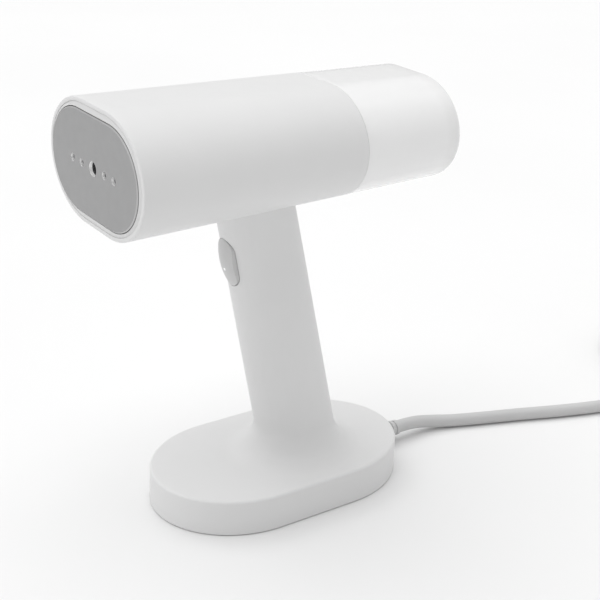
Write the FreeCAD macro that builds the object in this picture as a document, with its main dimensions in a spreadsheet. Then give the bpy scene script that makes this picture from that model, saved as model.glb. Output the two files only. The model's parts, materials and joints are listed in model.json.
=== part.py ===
import FreeCAD, Part
import math
import os
import re

import Sketcher
from FreeCAD import Placement, Rotation, Vector

# A handheld garment steamer that stands on its own base: an oval barrel with the steam
# plate in front and the water tank behind, on a leaning handle that flares into the base.
# Origin: centre of the base on the standing surface. +Z is up, the steam plate faces -Y,
# and the left and right halves mirror each other about X = 0, apart from the cord.

os.makedirs("parts", exist_ok=True)
doc = FreeCAD.newDocument("garment_steamer")

UP = Vector(0, 0, 1)
REARWARD = Vector(0, 1, 0)
SIDEWAYS = Vector(1, 0, 0)

# ---------------------------------------------------------------- driving dimensions (mm)

DIMENSIONS = [
    # barrel and tank: half sizes of the oval section at the front rim
    ("axis_z", 192.6), ("front_y", -102.8), ("seam_y", 18.2), ("rear_y", 77.2),
    ("oval_wide", 46.8), ("oval_tall", 29.5), ("oval_flat", 11.7), ("rear_scale", 0.89),
    ("barrel_wall", 2.2), ("rim_round", 0.8), ("gap", 0.1), ("seam_gap", 0.3),
    # steam plate, bezel and gasket
    ("plate_wide", 42.2), ("plate_tall", 24.2), ("plate_flat", 15.5), ("plate_proud", 1.0),
    ("plate_thick", 5.0), ("plate_chamfer", 0.5), ("plate_gap", 0.3), ("bezel_deep", 7.6),
    ("bezel_set", 0.3), ("ledge", 3.0), ("ledge_thick", 2.4), ("gasket_thick", 1.2),
    ("hole_first", 11.2), ("hole_pitch", 9.2), ("hole_radius", 1.5), ("hole_sink", 0.4),
    ("middle_radius", 3.0), ("middle_sink", 0.5),
    # heater
    ("block_wide", 26.0), ("block_tall", 17.0), ("block_deep", 19.6), ("steam_wide", 22.5),
    ("steam_tall", 8.6), ("steam_deep", 6.0), ("boil_deep", 7.0), ("passage_radius", 1.5),
    ("element_radius", 3.2), ("element_rise", 12.4), ("element_tail", 8.0),
    ("terminal_radius", 1.4), ("terminal_long", 5.0),
    ("cover_wide", 24.5), ("cover_tall", 16.0), ("cover_thick", 2.5),
    ("spacer_long", 5.6), ("spacer_radius", 3.0), ("spacer_x", 21.0), ("spacer_z", 12.0),
    ("carrier_thick", 2.5),
    ("thermostat_radius", 7.0), ("thermostat_high", 7.0), ("fuse_radius", 2.0), ("fuse_long", 14.0),
    # nipples, hoses and pump
    ("nipple_radius", 2.4), ("nipple_bore", 1.2), ("nipple_long", 4.0), ("hose_radius", 3.6),
    ("hose_gap", 0.3), ("hose_clear", 1.4), ("hose_straight", 8.5),
    ("pump_drop", 2.0), ("pump_front", -60.0), ("pump_long", 46.0), ("pump_radius", 6.0),
    ("pump_bore", 4.0), ("pump_end", 2.0), ("cap_thick", 4.0),
    ("plunger_radius", 3.95), ("plunger_long", 24.0), ("plunger_front", -50.0),
    ("coil_radius", 12.5), ("coil_front", -50.0), ("coil_long", 24.0), ("yoke_thick", 2.0),
    ("yoke_wide", 26.0), ("yoke_rise", 13.0),
    ("tray_drop", 20.0), ("tray_thick", 2.5), ("tray_rear", 6.0),
    ("tray_wide", 26.0), ("tray_post", 3.2), ("tray_post_x", 20.0), ("tray_post_y", 26.0),
    ("tray_middle", -32.0),
    # tank dock and tank
    ("dock_thick", 5.0), ("valve_drop", 14.0), ("socket_radius", 8.2), ("socket_deep", 3.5),
    ("seal_inner", 6.05), ("seal_thick", 2.0), ("pin_radius", 1.5), ("pin_long", 2.8),
    ("tank_wall", 1.8), ("tank_front_wall", 2.2), ("tank_round", 2.5), ("valve_radius", 6.0),
    ("valve_nose", 3.2), ("valve_flange", 9.0), ("valve_flange_thick", 2.0), ("valve_bore", 3.0),
    ("stem_radius", 1.5), ("stem_tip", 17.7), ("head_radius", 4.8), ("head_thick", 2.0),
    ("head_front", 25.4), ("cage_outer", 8.7), ("cage_inner", 7.5), ("cage_long", 10.0),
    ("cage_end", 1.2), ("cage_hole", 3.0), ("cage_window", 6.0),
    ("tongue_x", 24.0), ("tongue_wide", 8.0), ("tongue_tall", 3.6), ("tongue_long", 4.0),
    # fill cap under the tank
    ("boss_wide", 15.0), ("boss_front", 34.0), ("boss_rear", 64.0), ("boss_top", -20.4),
    ("recess_wide", 12.4), ("recess_front", 36.0), ("recess_roof", -24.2), ("hinge_y", 58.5),
    ("hinge_drop", -24.5), ("hinge_pin", 0.9), ("knuckle", 1.85), ("knuckle_room", 2.5),
    ("fill_y", 46.0), ("fill_radius", 7.2), ("stopper_radius", 6.7), ("stopper_high", 3.0),
    ("stopper_wall", 1.4), ("stopper_root", 0.5),
    ("cap_gap", 0.3), ("notch_wide", 5.0), ("notch_deep", 1.6),
    # handle and base
    ("base_long", 72.1), ("base_wide", 42.3), ("base_flat", 23.1), ("base_top", 19.9),
    ("base_under", 0.6), ("base_round", 1.5), ("handle_foot_y", 14.5), ("handle_head_y", -24.2),
    ("foot_depth", 22.9), ("head_depth", 20.7), ("handle_slim", 0.8), ("flare", 16.0),
    ("shell_wall", 2.4), ("spigot_gap", 0.1), ("spigot_wall", 2.4), ("spigot_foot", 164.0),
    ("cover_plate", 2.8), ("pad_inset", 5.0), ("pad_thick", 1.2), ("post_x", 27.0),
    ("post_y", 44.0), ("post_radius", 3.5), ("screw_radius", 1.1), ("screw_head", 2.2),
    ("screw_head_high", 1.4), ("screw_long", 9.0), ("ballast_high", 6.0), ("ballast_inset", 5.5),
    ("ballast_rear", 40.0),
    # steam button and switch, along and across the front of the handle
    ("button_z", 133.7), ("button_long", 26.0), ("button_wide", 13.0), ("button_proud", 2.4),
    ("button_side_round", 13.7), ("button_deep", 6.0), ("button_gap", 0.3),
    ("button_flange", 1.5), ("flange_wide", 16.0), ("flange_long", 31.0), ("button_travel", 1.5),
    ("post_tip", 8.9), ("tip_radius", 2.0), ("lens_radius", 0.8), ("lens_drop", 2.9), ("switch_tip", 9.0),
    ("switch_front", 10.6), ("board_front", 16.6), ("board_thick", 1.6), ("board_wide", 24.0),
    ("board_long", 56.0), ("board_drop", 8.0), ("frame_thick", 2.0), ("switch_long", 12.8),
    ("switch_wide", 6.4), ("plunger_pin", 1.2), ("pin_room", 0.05), ("pin_sunk", 2.0),
    ("spring_wire", 0.5), ("spring_x", 11.0), ("spring_radius", 2.1), ("pump_spring_radius", 3.2),
    ("pump_spring_wire", 0.6), ("valve_spring_radius", 3.6), ("cross_wide", 0.5),
    ("relay_long", 15.0), ("relay_wide", 12.0), ("relay_high", 9.0),
    # cord entry, cord and plug
    ("cord_radius", 3.7), ("entry_z", 8.0), ("relief_end", 84.0), ("relief_root", 5.2),
    ("relief_tip", 4.3), ("relief_flange", 6.6), ("relief_flange_thick", 3.0),
    ("relief_groove", 0.6), ("groove_pitch", 3.0), ("groove_wide", 1.2),
    ("relief_neck", 7.0), ("relief_step", 0.8), ("clamp_rear", 65.0), ("clamp_deep", 8.0),
    ("clamp_wide", 24.0), ("clamp_high", 10.0), ("terminals_y", 45.0),
    ("terminals_deep", 9.0), ("terminals_wide", 22.0), ("terminals_high", 11.0),
    ("harness_radius", 2.5), ("harness_y", -7.3),
    ("coil_mean", 40.0), ("coil_turns_wide", 3), ("coil_layers", 2),
    ("plug_long", 38.0), ("plug_stub", 12.0), ("plug_wide", 16.0), ("plug_pin_radius", 2.4),
    ("plug_pin_long", 19.0), ("plug_pin_x", 9.5), ("plug_round", 3.0), ("plug_shoulder", 9.0),
    ("plug_overlap", 2.0),
]

sheet = doc.addObject("Spreadsheet::Sheet", "dims")
for row, (alias, value) in enumerate(DIMENSIONS, start=1):
    sheet.set(f"A{row}", alias)
    sheet.set(f"B{row}", str(value))
    sheet.setAlias(f"B{row}", alias)
doc.recompute()


def bound(expression):
    """The expression as the document reads it, with the sheet named before each alias."""
    return re.sub(r"[A-Za-z_]\w*", r"dims.\g<0>", str(expression))


def size(expression):
    """What an expression in the sheet's aliases comes to now."""
    return float(sheet.evalExpression(bound(expression)))


# ---------------------------------------------------------------- document helpers

pieces = []


def piece(item, label):
    """Gives an object the label that names its file, and lists it for export."""
    item.Label = label
    pieces.append(item)
    return item


def set_at(item, at, rotation=Rotation()):
    """Places an object: each coordinate is bound to its expression."""
    item.Placement = Placement(Vector(*[size(e) for e in at]), rotation)
    for axis, expression in zip("xyz", at):
        item.setExpression(f"Placement.Base.{axis}", bound(expression))


def feature(label, shape, keep=True):
    """A document object that holds a shape made with Part's functions."""
    item = doc.addObject("Part::Feature", label)
    item.Shape = shape
    return piece(item, label) if keep else item


def sketch_on(body, role):
    """A new sketch on one of the body's own origin planes."""
    plane = next(o for o in body.Origin.OriginFeatures if o.Role == role)
    sketch = body.newObject("Sketcher::SketchObject", f"{body.Name}_{role}_sketch")
    sketch.AttachmentSupport = [(plane, "")]
    sketch.MapMode = "FlatFace"
    return sketch


def fix_point(sketch, edge, vertex, across, up):
    """Ties a sketch point to two expressions, or to an axis where one is zero."""
    for kind, expression, axis in (("DistanceX", across, -2), ("DistanceY", up, -1)):
        value = size(expression)
        if abs(value) < 1e-9:
            sketch.addConstraint(Sketcher.Constraint("PointOnObject", edge, vertex, axis))
            continue
        made = sketch.addConstraint(Sketcher.Constraint(kind, -1, 1, edge, vertex, value))
        sketch.setExpression(f"Constraints[{made}]", bound(expression))


def draw_outline(sketch, corners):
    """A closed outline of straight sides, each corner tied to its two expressions."""
    first = sketch.GeometryCount
    spots = [Vector(size(across), size(up), 0) for across, up in corners]
    for n, spot in enumerate(spots):
        sketch.addGeometry(Part.LineSegment(spot, spots[(n + 1) % len(spots)]), False)
    for n, (across, up) in enumerate(corners):
        following = (n + 1) % len(corners)
        sketch.addConstraint(Sketcher.Constraint("Coincident", first + n, 2, first + following, 1))
        fix_point(sketch, first + n, 1, across, up)


def draw_circle(sketch, across, up, radius):
    """A circle whose centre and radius are tied to expressions."""
    centre = Vector(size(across), size(up), 0)
    edge = sketch.addGeometry(Part.Circle(centre, UP, size(radius)), False)
    made = sketch.addConstraint(Sketcher.Constraint("Radius", edge, size(radius)))
    sketch.setExpression(f"Constraints[{made}]", bound(radius))
    fix_point(sketch, edge, 3, across, up)


def rectangle(half_across, half_up):
    """Corners of a rectangle about the sketch's origin."""
    return [
        (f"-({half_across})", f"-({half_up})"), (half_across, f"-({half_up})"),
        (half_across, half_up), (f"-({half_across})", half_up),
    ]


def new_body(label, keep=True):
    body = doc.addObject("PartDesign::Body", label)
    return piece(body, label) if keep else body


def turned(label, profile, at, along=UP, keep=True):
    """A body of revolution: profile is (radius, distance along the axis) pairs."""
    body = new_body(label, keep)
    sketch = sketch_on(body, "XZ_Plane")
    draw_outline(sketch, profile)
    turn = body.newObject("PartDesign::Revolution", f"{label}_turn")
    turn.Profile = sketch
    turn.ReferenceAxis = (sketch, ["V_Axis"])
    turn.Angle = 360
    set_at(body, at, Rotation(UP, along))
    return body


def padded(body, corners, thickness):
    """A straight-sided plate standing on the body's XY plane."""
    sketch = sketch_on(body, "XY_Plane")
    draw_outline(sketch, corners)
    pad = body.newObject("PartDesign::Pad", f"{body.Name}_pad")
    pad.Profile = sketch
    pad.setExpression("Length", bound(thickness))
    return pad


def pocket(body, depth, corners=None, circles=(), up_from=None):
    """Cuts an outline or circles into the body, from its XY plane or from a height above it."""
    sketch = sketch_on(body, "XY_Plane")
    if corners:
        draw_outline(sketch, corners)
    for across, up, radius in circles:
        draw_circle(sketch, across, up, radius)
    doc.recompute()
    before = body.Shape.Volume
    cut = body.newObject("PartDesign::Pocket", f"{body.Name}_pocket")
    cut.Profile = sketch
    cut.setExpression("Length", bound(depth))
    if up_from is None:
        cut.Reversed = True
    else:
        sketch.AttachmentOffset = Placement(Vector(0, 0, size(up_from)), Rotation())
        sketch.setExpression("AttachmentOffset.Base.z", bound(up_from))
    doc.recompute()
    if body.Shape.Volume > before - 1e-6:
        raise RuntimeError(f"{body.Label}: {cut.Name} cuts nothing")
    return cut


def ring(label, outer, inner, long, at, along=UP, keep=True):
    """A straight tube, or a plain rod where the inner radius is 0."""
    profile = [(inner, "0"), (outer, "0"), (outer, long), (inner, long)]
    return turned(label, profile, at, along, keep)


def joined(label, parts, keep=True):
    fuse = doc.addObject("Part::MultiFuse", label)
    fuse.Shapes = parts
    fuse.Refine = True
    return piece(fuse, label) if keep else fuse


def cut_from(label, base, tool, keep=True):
    cut = doc.addObject("Part::Cut", label)
    cut.Base = base
    cut.Tool = tool
    return piece(cut, label) if keep else cut


def box(label, low, high, keep=False):
    """A box between two corners given as expressions."""
    item = doc.addObject("Part::Box", label)
    for name, a, b in zip(("Length", "Width", "Height"), low, high):
        item.setExpression(name, bound(f"({b}) - ({a})"))
    set_at(item, low)
    return piece(item, label) if keep else item


def box_shape(low, high):
    """The same box as a bare shape, for use inside a Part feature."""
    corner = Vector(*[size(e) for e in low])
    far = Vector(*[size(e) for e in high])
    return Part.makeBox(far.x - corner.x, far.y - corner.y, far.z - corner.z, corner)


def rod_shape(radius, long, at, along=UP):
    return Part.makeCylinder(size(radius), size(long), at, along)


def screw_set(label, spots, along, head="screw_head_high", long="screw_long"):
    """Equal cross-head screws in one node: each spot is the outer face of a head."""
    slot = size("screw_head")
    cross_wide = size("cross_wide")
    screws = []
    for spot in spots:
        screw = rod_shape("screw_head", head, spot, along)
        screw = screw.fuse(rod_shape("screw_radius", long, spot, along))
        for long_x, long_y in ((slot, cross_wide), (cross_wide, slot)):
            cross = Part.makeBox(long_x, long_y, slot / 3, Vector(-long_x / 2, -long_y / 2, 0))
            cross.Placement = Placement(spot, Rotation(UP, along)).multiply(cross.Placement)
            screw = screw.cut(cross)
        screws.append(screw)
    return feature(label, Part.makeCompound(screws))


def spring_shape(radius, wire, long, at, along, turns=6):
    """A coil spring of six-sided wire, its outer wire faces at both ends of the given length."""
    pitch = (long - wire) / turns
    path = Part.makeHelix(pitch, long - wire, radius)
    slope = Vector(0, 2 * math.pi * radius, pitch).normalize()
    upright_way = SIDEWAYS.cross(slope)
    corners = []
    for corner in range(6):
        turn = math.pi * (corner + 0.5) / 3
        reach = wire / 2 / math.cos(math.pi / 6)
        outward = SIDEWAYS * (radius + reach * math.cos(turn))
        corners.append(outward + upright_way * (reach * math.sin(turn)))
    section = Part.makePolygon(corners + corners[:1])
    spring = Part.Wire(path.Edges).makePipeShell([section], True, True)
    spring.Placement = Placement(at + along * (wire / 2), Rotation(UP, along))
    return spring


def rounded_path(points):
    """Straight runs joined by tangent arcs, each as large as its two runs allow."""
    edges = []
    radii = []
    start = points[0]
    for before, corner, after in zip(points, points[1:], points[2:]):
        into = (corner - before).normalize()
        out = (after - corner).normalize()
        half_turn = into.getAngle(out) / 2
        reach = 0.45 * min(before.distanceToPoint(corner), corner.distanceToPoint(after))
        radius = reach / math.tan(half_turn)
        bisector = (out - into).normalize()
        middle = corner + bisector * (radius / math.cos(half_turn) - radius)
        enter = corner - into * reach
        leave = corner + out * reach
        edges.append(Part.LineSegment(start, enter).toShape())
        edges.append(Part.Arc(enter, middle, leave).toShape())
        radii.append(radius)
        start = leave
    edges.append(Part.LineSegment(start, points[-1]).toShape())
    return Part.Wire(edges), radii


def tube_shape(points, radius):
    """A solid round tube along the rounded path through the points."""
    path, radii = rounded_path(points)
    section = Part.Wire(Part.Circle(points[0], points[1] - points[0], radius).toShape())
    tube = path.makePipeShell([section], True, False)
    ideal = math.pi * radius**2 * path.Length
    if abs(tube.Volume - ideal) > 0.01 * ideal:
        raise RuntimeError("a tube's volume is not its section times its length")
    return tube, path.Length, radii


# ---------------------------------------------------------------- oval shapes


def oval_end(centre_x, reach, rise, side):
    """Half an ellipse that closes an oval on the right (side 1) or the left (side -1)."""
    centre = Vector(centre_x, 0, 0)
    if reach >= rise:
        ellipse = Part.Ellipse(centre + Vector(reach, 0, 0), centre + Vector(0, rise, 0), centre)
        start = -math.pi / 2 if side > 0 else math.pi / 2
    else:
        ellipse = Part.Ellipse(centre + Vector(0, rise, 0), centre - Vector(reach, 0, 0), centre)
        start = math.pi if side > 0 else 0
    return Part.ArcOfEllipse(ellipse, start, start + math.pi).toShape()


def oval_wire(half_wide, half_tall, flat):
    """Two level lines joined by elliptical ends, in the XY plane."""
    reach = half_wide - flat
    return Part.Wire([
        oval_end(flat, reach, half_tall, 1),
        Part.LineSegment(Vector(flat, half_tall, 0), Vector(-flat, half_tall, 0)).toShape(),
        oval_end(-flat, reach, half_tall, -1),
        Part.LineSegment(Vector(-flat, -half_tall, 0), Vector(flat, -half_tall, 0)).toShape(),
    ])


def upright(wire, y):
    """Stands a section across the barrel's axis at a distance along it."""
    wire.Placement = Placement(Vector(0, y, size("axis_z")), Rotation(SIDEWAYS, 90))
    return wire


def barrel_section(y, inset):
    """The barrel's oval at y, smaller all round by inset; it narrows evenly to the rear."""
    along = (y - size("front_y")) / size("rear_y - front_y")
    scale = 1 - (1 - size("rear_scale")) * along
    half_wide = size("oval_wide") * scale - inset
    half_tall = size("oval_tall") * scale - inset
    return upright(oval_wire(half_wide, half_tall, size("oval_flat") * scale), y)


def barrel_solid(front, rear, inset=0):
    sections = [barrel_section(front, inset), barrel_section(rear, inset)]
    return Part.makeLoft(sections, True, True)


def plate_solid(front, rear, inset=0):
    """The steam plate's outline as a slab, smaller all round by inset."""
    half_wide = size("plate_wide") - inset
    half_tall = size("plate_tall") - inset
    wire = upright(oval_wire(half_wide, half_tall, size("plate_flat")), front)
    return Part.Face(wire).extrude(REARWARD * (rear - front))


def end_edges(shape, y):
    """Edges that lie wholly in the plane at this y."""
    flat = [e for e in shape.Edges if abs(e.BoundBox.YMin - y) + abs(e.BoundBox.YMax - y) < 1e-4]
    return flat


def on_axis(x=0.0, y=0.0, rise=0.0):
    """A point given from the barrel's axis."""
    return Vector(x, y, size("axis_z") + rise)


# ---------------------------------------------------------------- leaning handle and base


def handle_ring(z, inset):
    """The handle's level ellipse at a height, smaller all round by inset."""
    along = (z - size("base_top")) / size("axis_z - base_top")
    centre = Vector(0, size("handle_foot_y") + along * size("handle_head_y - handle_foot_y"), z)
    depth = size("foot_depth") + along * size("head_depth - foot_depth")
    slim = depth * size("handle_slim") - inset
    depth -= inset
    ellipse = Part.Ellipse(centre + REARWARD * depth, centre - SIDEWAYS * slim, centre)
    return Part.Wire(ellipse.toShape())


def handle_solid(low, high, inset):
    return Part.makeLoft([handle_ring(low, inset), handle_ring(high, inset)], True, True)


def base_slab(low, high, inset):
    """The base's oval as a slab between two heights."""
    wire = oval_wire(size("base_long") - inset, size("base_wide") - inset, size("base_flat"))
    wire.Placement = Placement(Vector(0, 0, low), Rotation(UP, 90))
    return Part.Face(wire).extrude(UP * (high - low))


def pedestal(top, under, inset, flare, edge_round):
    """Base and handle in one, with the flare between them and a rounded base rim."""
    base = base_slab(under, top, inset)
    if edge_round:
        rim = [e for e in base.Edges if e.BoundBox.ZMin > top - 1e-4]
        base = base.makeFillet(edge_round, rim)
    whole = base.fuse(handle_solid(top - 5, size("axis_z"), inset)).removeSplitter()
    reach = size("foot_depth") + 1
    root = [
        e for e in whole.Edges
        if e.BoundBox.ZMin > top - 1e-3 and e.BoundBox.ZMax < top + 1e-3
        and abs(e.BoundBox.XMax) < reach
    ]
    return whole.makeFillet(flare, root)


outer_barrel = barrel_solid(size("front_y"), size("rear_y"))
inner_handle = handle_solid(size("base_top"), size("axis_z"), size("shell_wall"))


def make_handle_shell():
    wall = size("shell_wall")
    shell = pedestal(size("base_top"), size("base_under"), 0, size("flare"), size("base_round"))
    shell = shell.cut(outer_barrel)
    hollow = pedestal(size("base_top") - wall, size("base_under") - 1, wall, size("flare") - wall, 0)
    shell = shell.cut(hollow)
    for x in (-1, 1):
        for y in (-1, 1):
            spot = Vector(x * size("post_x"), y * size("post_y"), size("base_under + cover_plate"))
            post = rod_shape("post_radius", f"base_top - {spot.z} - shell_wall / 2", spot)
            hole = rod_shape("screw_radius", "screw_long", spot)
            shell = shell.fuse(post.cut(hole))
    entry = Vector(0, size("base_long - 10"), size("entry_z"))
    shell = shell.cut(rod_shape("relief_root", "20", entry, REARWARD))
    opening = button_prism(size("button_wide + 2 * button_gap"), size("button_long + 2 * button_gap"),
                           -size("button_proud + 3"), size("button_deep + 3"))
    return shell.cut(opening).removeSplitter()


# ---------------------------------------------------------------- button frame

# The button works square to the front of the handle, whose front line leans forward.
foot_front = size("handle_foot_y - foot_depth")
head_front = size("handle_head_y - head_depth")
front_line = Vector(0, head_front - foot_front, size("axis_z - base_top")).normalize()
INWARD = SIDEWAYS.cross(front_line).normalize() * -1
button_share = size("(button_z - base_top) / (axis_z - base_top)")
button_seat = Vector(0, foot_front + button_share * (head_front - foot_front), size("button_z"))
BUTTON_FRAME = Rotation(SIDEWAYS, front_line, INWARD * -1, "XYZ")


def in_handle(across, along, depth):
    """A point given across, up along and into the handle from the button's seat."""
    return button_seat + SIDEWAYS * across + front_line * along + INWARD * depth


def framed(shape):
    """Turns a shape modelled with +Y up the handle and +Z out of it into place."""
    shape.Placement = Placement(button_seat, BUTTON_FRAME).multiply(shape.Placement)
    return shape


def button_prism(wide, long, top, bottom, along=0.0):
    """A round-ended bar, square to the handle's front, between two depths."""
    half = wide / 2
    run = (long - wide) / 2
    low, high = along - run, along + run
    wire = Part.Wire([
        Part.LineSegment(Vector(half, low, 0), Vector(half, high, 0)).toShape(),
        Part.Arc(Vector(half, high, 0), Vector(0, high + half, 0), Vector(-half, high, 0)).toShape(),
        Part.LineSegment(Vector(-half, high, 0), Vector(-half, low, 0)).toShape(),
        Part.Arc(Vector(-half, low, 0), Vector(0, low - half, 0), Vector(half, low, 0)).toShape(),
    ])
    wire.translate(Vector(0, 0, -bottom))
    return framed(Part.Face(wire).extrude(UP * (bottom - top)))


def handle_box(half_across, low, high, top, bottom):
    """A box in the handle between two levels along it and two depths."""
    corner = Vector(-half_across, low, -bottom)
    return framed(Part.makeBox(2 * half_across, high - low, bottom - top, corner))


# ---------------------------------------------------------------- barrel, bezel and plate


def make_barrel_shell():
    front, seam = size("front_y"), size("seam_y")
    shell = barrel_solid(front, seam)
    rim = end_edges(shell, front)
    shell = shell.makeFillet(size("rim_round"), rim)
    shell = shell.cut(barrel_solid(front - 1, seam + 1, size("barrel_wall")))
    for x in (-1, 1):
        for y in (-1, 1):
            at_y = size("tray_middle") + y * size("tray_post_y")
            foot = on_axis(x * size("tray_post_x"), at_y, -size("oval_tall"))
            post = rod_shape("tray_post", "oval_tall - tray_drop", foot)
            hole = rod_shape("screw_radius", "oval_tall - tray_drop", foot + UP * 4)
            shell = shell.fuse(post.common(outer_barrel).cut(hole))
    neck = handle_solid(size("spigot_foot"), size("axis_z"), size("shell_wall + spigot_gap"))
    return shell.cut(neck).removeSplitter()


def make_bezel():
    front = size("front_y + bezel_set")
    rear = front + size("bezel_deep")
    bezel = barrel_solid(front, rear, size("barrel_wall + gap"))
    bezel = bezel.cut(plate_solid(front - 1, rear - size("ledge_thick"), -size("plate_gap")))
    return bezel.cut(plate_solid(front - 1, rear + 1, size("ledge")))


def make_steam_plate():
    front = size("front_y - plate_proud")
    rear = front + size("plate_thick")
    plate = plate_solid(front, rear)
    plate = plate.makeChamfer(size("plate_chamfer"), end_edges(plate, front))
    inner, outer = size("hole_first"), size("hole_first + hole_pitch")
    for x in (-outer, -inner, 0, inner, outer):
        radius = size("middle_radius" if x == 0 else "hole_radius")
        sink = size("middle_sink" if x == 0 else "hole_sink")
        spot = on_axis(x, front)
        plate = plate.cut(Part.makeCylinder(radius, rear - front, spot, REARWARD))
        plate = plate.cut(Part.makeCone(radius + sink, radius, sink, spot, REARWARD))
    return plate


feature("barrel_shell", make_barrel_shell())
feature("front_bezel", make_bezel())
feature("steam_plate", make_steam_plate())

plate_rear = size("front_y - plate_proud + plate_thick")
block_front = plate_rear + size("gasket_thick")
gasket = plate_solid(plate_rear, block_front, size("ledge + gap"))
rect_hole = box_shape(
    ("-steam_wide", f"{plate_rear - 1}", "axis_z - steam_tall"),
    ("steam_wide", f"{block_front + 1}", "axis_z + steam_tall"),
)
feature("plate_gasket", gasket.cut(rect_hole))

# ---------------------------------------------------------------- heater

def make_heater_block():
    """A cast block standing on its front face: steam room in front, boiling room behind."""
    body = new_body("block_casting", keep=False)
    padded(body, rectangle("block_wide", "block_tall"), "block_deep")
    pocket(body, "steam_deep", rectangle("steam_wide", "steam_tall"))
    pocket(body, "boil_deep", rectangle("steam_wide", "steam_tall"), up_from="block_deep")
    web = "block_deep"
    spots = [("-steam_wide / 2", "0"), ("0", "steam_tall / 2"), ("steam_wide / 2", "0")]
    pocket(body, web, circles=[(x, z, "passage_radius") for x, z in spots])
    set_at(body, ("0", f"{block_front}", "axis_z"), Rotation(UP, REARWARD))
    return body


def make_heating_element(label="heating_element"):
    """A U-shaped tubular element: two legs through the block and a bend at one side."""
    y = f"{block_front} + block_deep / 2"
    legs = []
    for name, side in (("upper", "+"), ("lower", "-")):
        leg = doc.addObject("Part::Cylinder", f"{label}_{name}_leg")
        leg.setExpression("Radius", bound("element_radius"))
        leg.setExpression("Height", bound("2 * block_wide + element_tail"))
        at = ("-block_wide - element_tail", y, f"axis_z {side} element_rise")
        set_at(leg, at, Rotation(UP, SIDEWAYS))
        legs.append(leg)
    bend = doc.addObject("Part::Torus", f"{label}_bend")
    bend.setExpression("Radius1", bound("element_rise"))
    bend.setExpression("Radius2", bound("element_radius"))
    bend.Angle3 = 180
    set_at(bend, ("block_wide", y, "axis_z"), Rotation(UP * -1, SIDEWAYS, REARWARD, "XYZ"))
    return joined(label, legs + [bend])


element = make_heating_element()
cut_from("heater_block", make_heater_block(), element)

terminal_pins = [
    rod_shape("terminal_radius", "terminal_long",
              on_axis(-size("block_wide + element_tail"), block_front + size("block_deep / 2"), rise),
              SIDEWAYS * -1)
    for rise in (size("element_rise"), -size("element_rise"))
]
feature("element_terminals", Part.makeCompound(terminal_pins))

block_rear = block_front + size("block_deep")
cover_rear = block_rear + size("cover_thick")
carrier_front = cover_rear + size("spacer_long")
carrier_rear = carrier_front + size("carrier_thick")

cover = new_body("boiler_cover")
padded(cover, rectangle("cover_wide", "cover_tall"), "cover_thick")
pocket(cover, "cover_thick", circles=[("0", "pump_drop", "nipple_bore")])
set_at(cover, ("0", f"{block_rear}", "axis_z"), Rotation(UP, REARWARD))

ring("boiler_inlet", "nipple_radius", "nipple_bore", "nipple_long",
     ("0", f"{cover_rear}", "axis_z - pump_drop"), REARWARD)

spacers = [
    rod_shape("spacer_radius", "spacer_long",
              on_axis(x * size("spacer_x"), cover_rear, z * size("spacer_z")), REARWARD)
    for x in (-1, 1) for z in (-1, 1)
]
feature("cover_spacers", Part.makeCompound(spacers))

carrier = barrel_solid(carrier_front, carrier_rear, size("barrel_wall + gap"))
hose_room = rod_shape("hose_radius + hose_clear", "3 * carrier_thick",
                      on_axis(0, carrier_front - size("carrier_thick"), -size("pump_drop")), REARWARD)
feature("heater_carrier", carrier.cut(hose_room))

turned("thermostat",
       [("0", "0"), ("thermostat_radius", "0"), ("thermostat_radius", "thermostat_high - 2"),
        ("thermostat_radius - 2", "thermostat_high"), ("0", "thermostat_high")],
       ("0", f"{block_front} + block_deep / 2", "axis_z + block_tall"))
ring("thermal_fuse", "fuse_radius", "0", "fuse_long",
     ("-fuse_long / 2", f"{block_front} + block_deep / 2", "axis_z - block_tall - fuse_radius"), SIDEWAYS)

# ---------------------------------------------------------------- pump and hoses

pump_axis = "axis_z - pump_drop"
turned("pump_tube",
       [("nipple_bore", "-nipple_long"), ("nipple_radius", "-nipple_long"), ("nipple_radius", "0"),
        ("pump_radius", "0"), ("pump_radius", "pump_long"), ("pump_bore", "pump_long"),
        ("pump_bore", "pump_end"), ("nipple_bore", "pump_end")],
       ("0", "pump_front", pump_axis), REARWARD)
turned("pump_inlet_cap",
       [("nipple_bore", "0"), ("pump_bore", "0"), ("pump_bore", "cap_thick"),
        ("nipple_radius", "cap_thick"), ("nipple_radius", "cap_thick + nipple_long"),
        ("nipple_bore", "cap_thick + nipple_long")],
       ("0", "pump_front + pump_long - cap_thick", pump_axis), REARWARD)
ring("pump_plunger", "plunger_radius", "nipple_bore", "plunger_long",
     ("0", "plunger_front", pump_axis), REARWARD)
ring("pump_coil", "coil_radius", "pump_radius", "coil_long", ("0", "coil_front", pump_axis), REARWARD)

yoke = new_body("pump_yoke")
padded(yoke, [("-yoke_thick", "0"), ("coil_long + yoke_thick", "0"),
              ("coil_long + yoke_thick", "yoke_rise + tray_drop - tray_thick - pump_drop"),
              ("coil_long", "yoke_rise + tray_drop - tray_thick - pump_drop"),
              ("coil_long", "yoke_thick"), ("0", "yoke_thick"),
              ("0", "yoke_rise + tray_drop - tray_thick - pump_drop"),
              ("-yoke_thick", "yoke_rise + tray_drop - tray_thick - pump_drop")], "yoke_wide")
bore = sketch_on(yoke, "YZ_Plane")
draw_circle(bore, "tray_drop - tray_thick - pump_drop", "yoke_wide / 2", "pump_radius")
doc.recompute()
solid_yoke = yoke.Shape.Volume
holes = yoke.newObject("PartDesign::Pocket", "yoke_bore")
holes.Profile = bore
holes.Type = "ThroughAll"
holes.Midplane = True
set_at(yoke, ("-yoke_wide / 2", "coil_front", "axis_z - tray_drop + tray_thick"),
       Rotation(REARWARD, UP, SIDEWAYS, "XYZ"))

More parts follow.
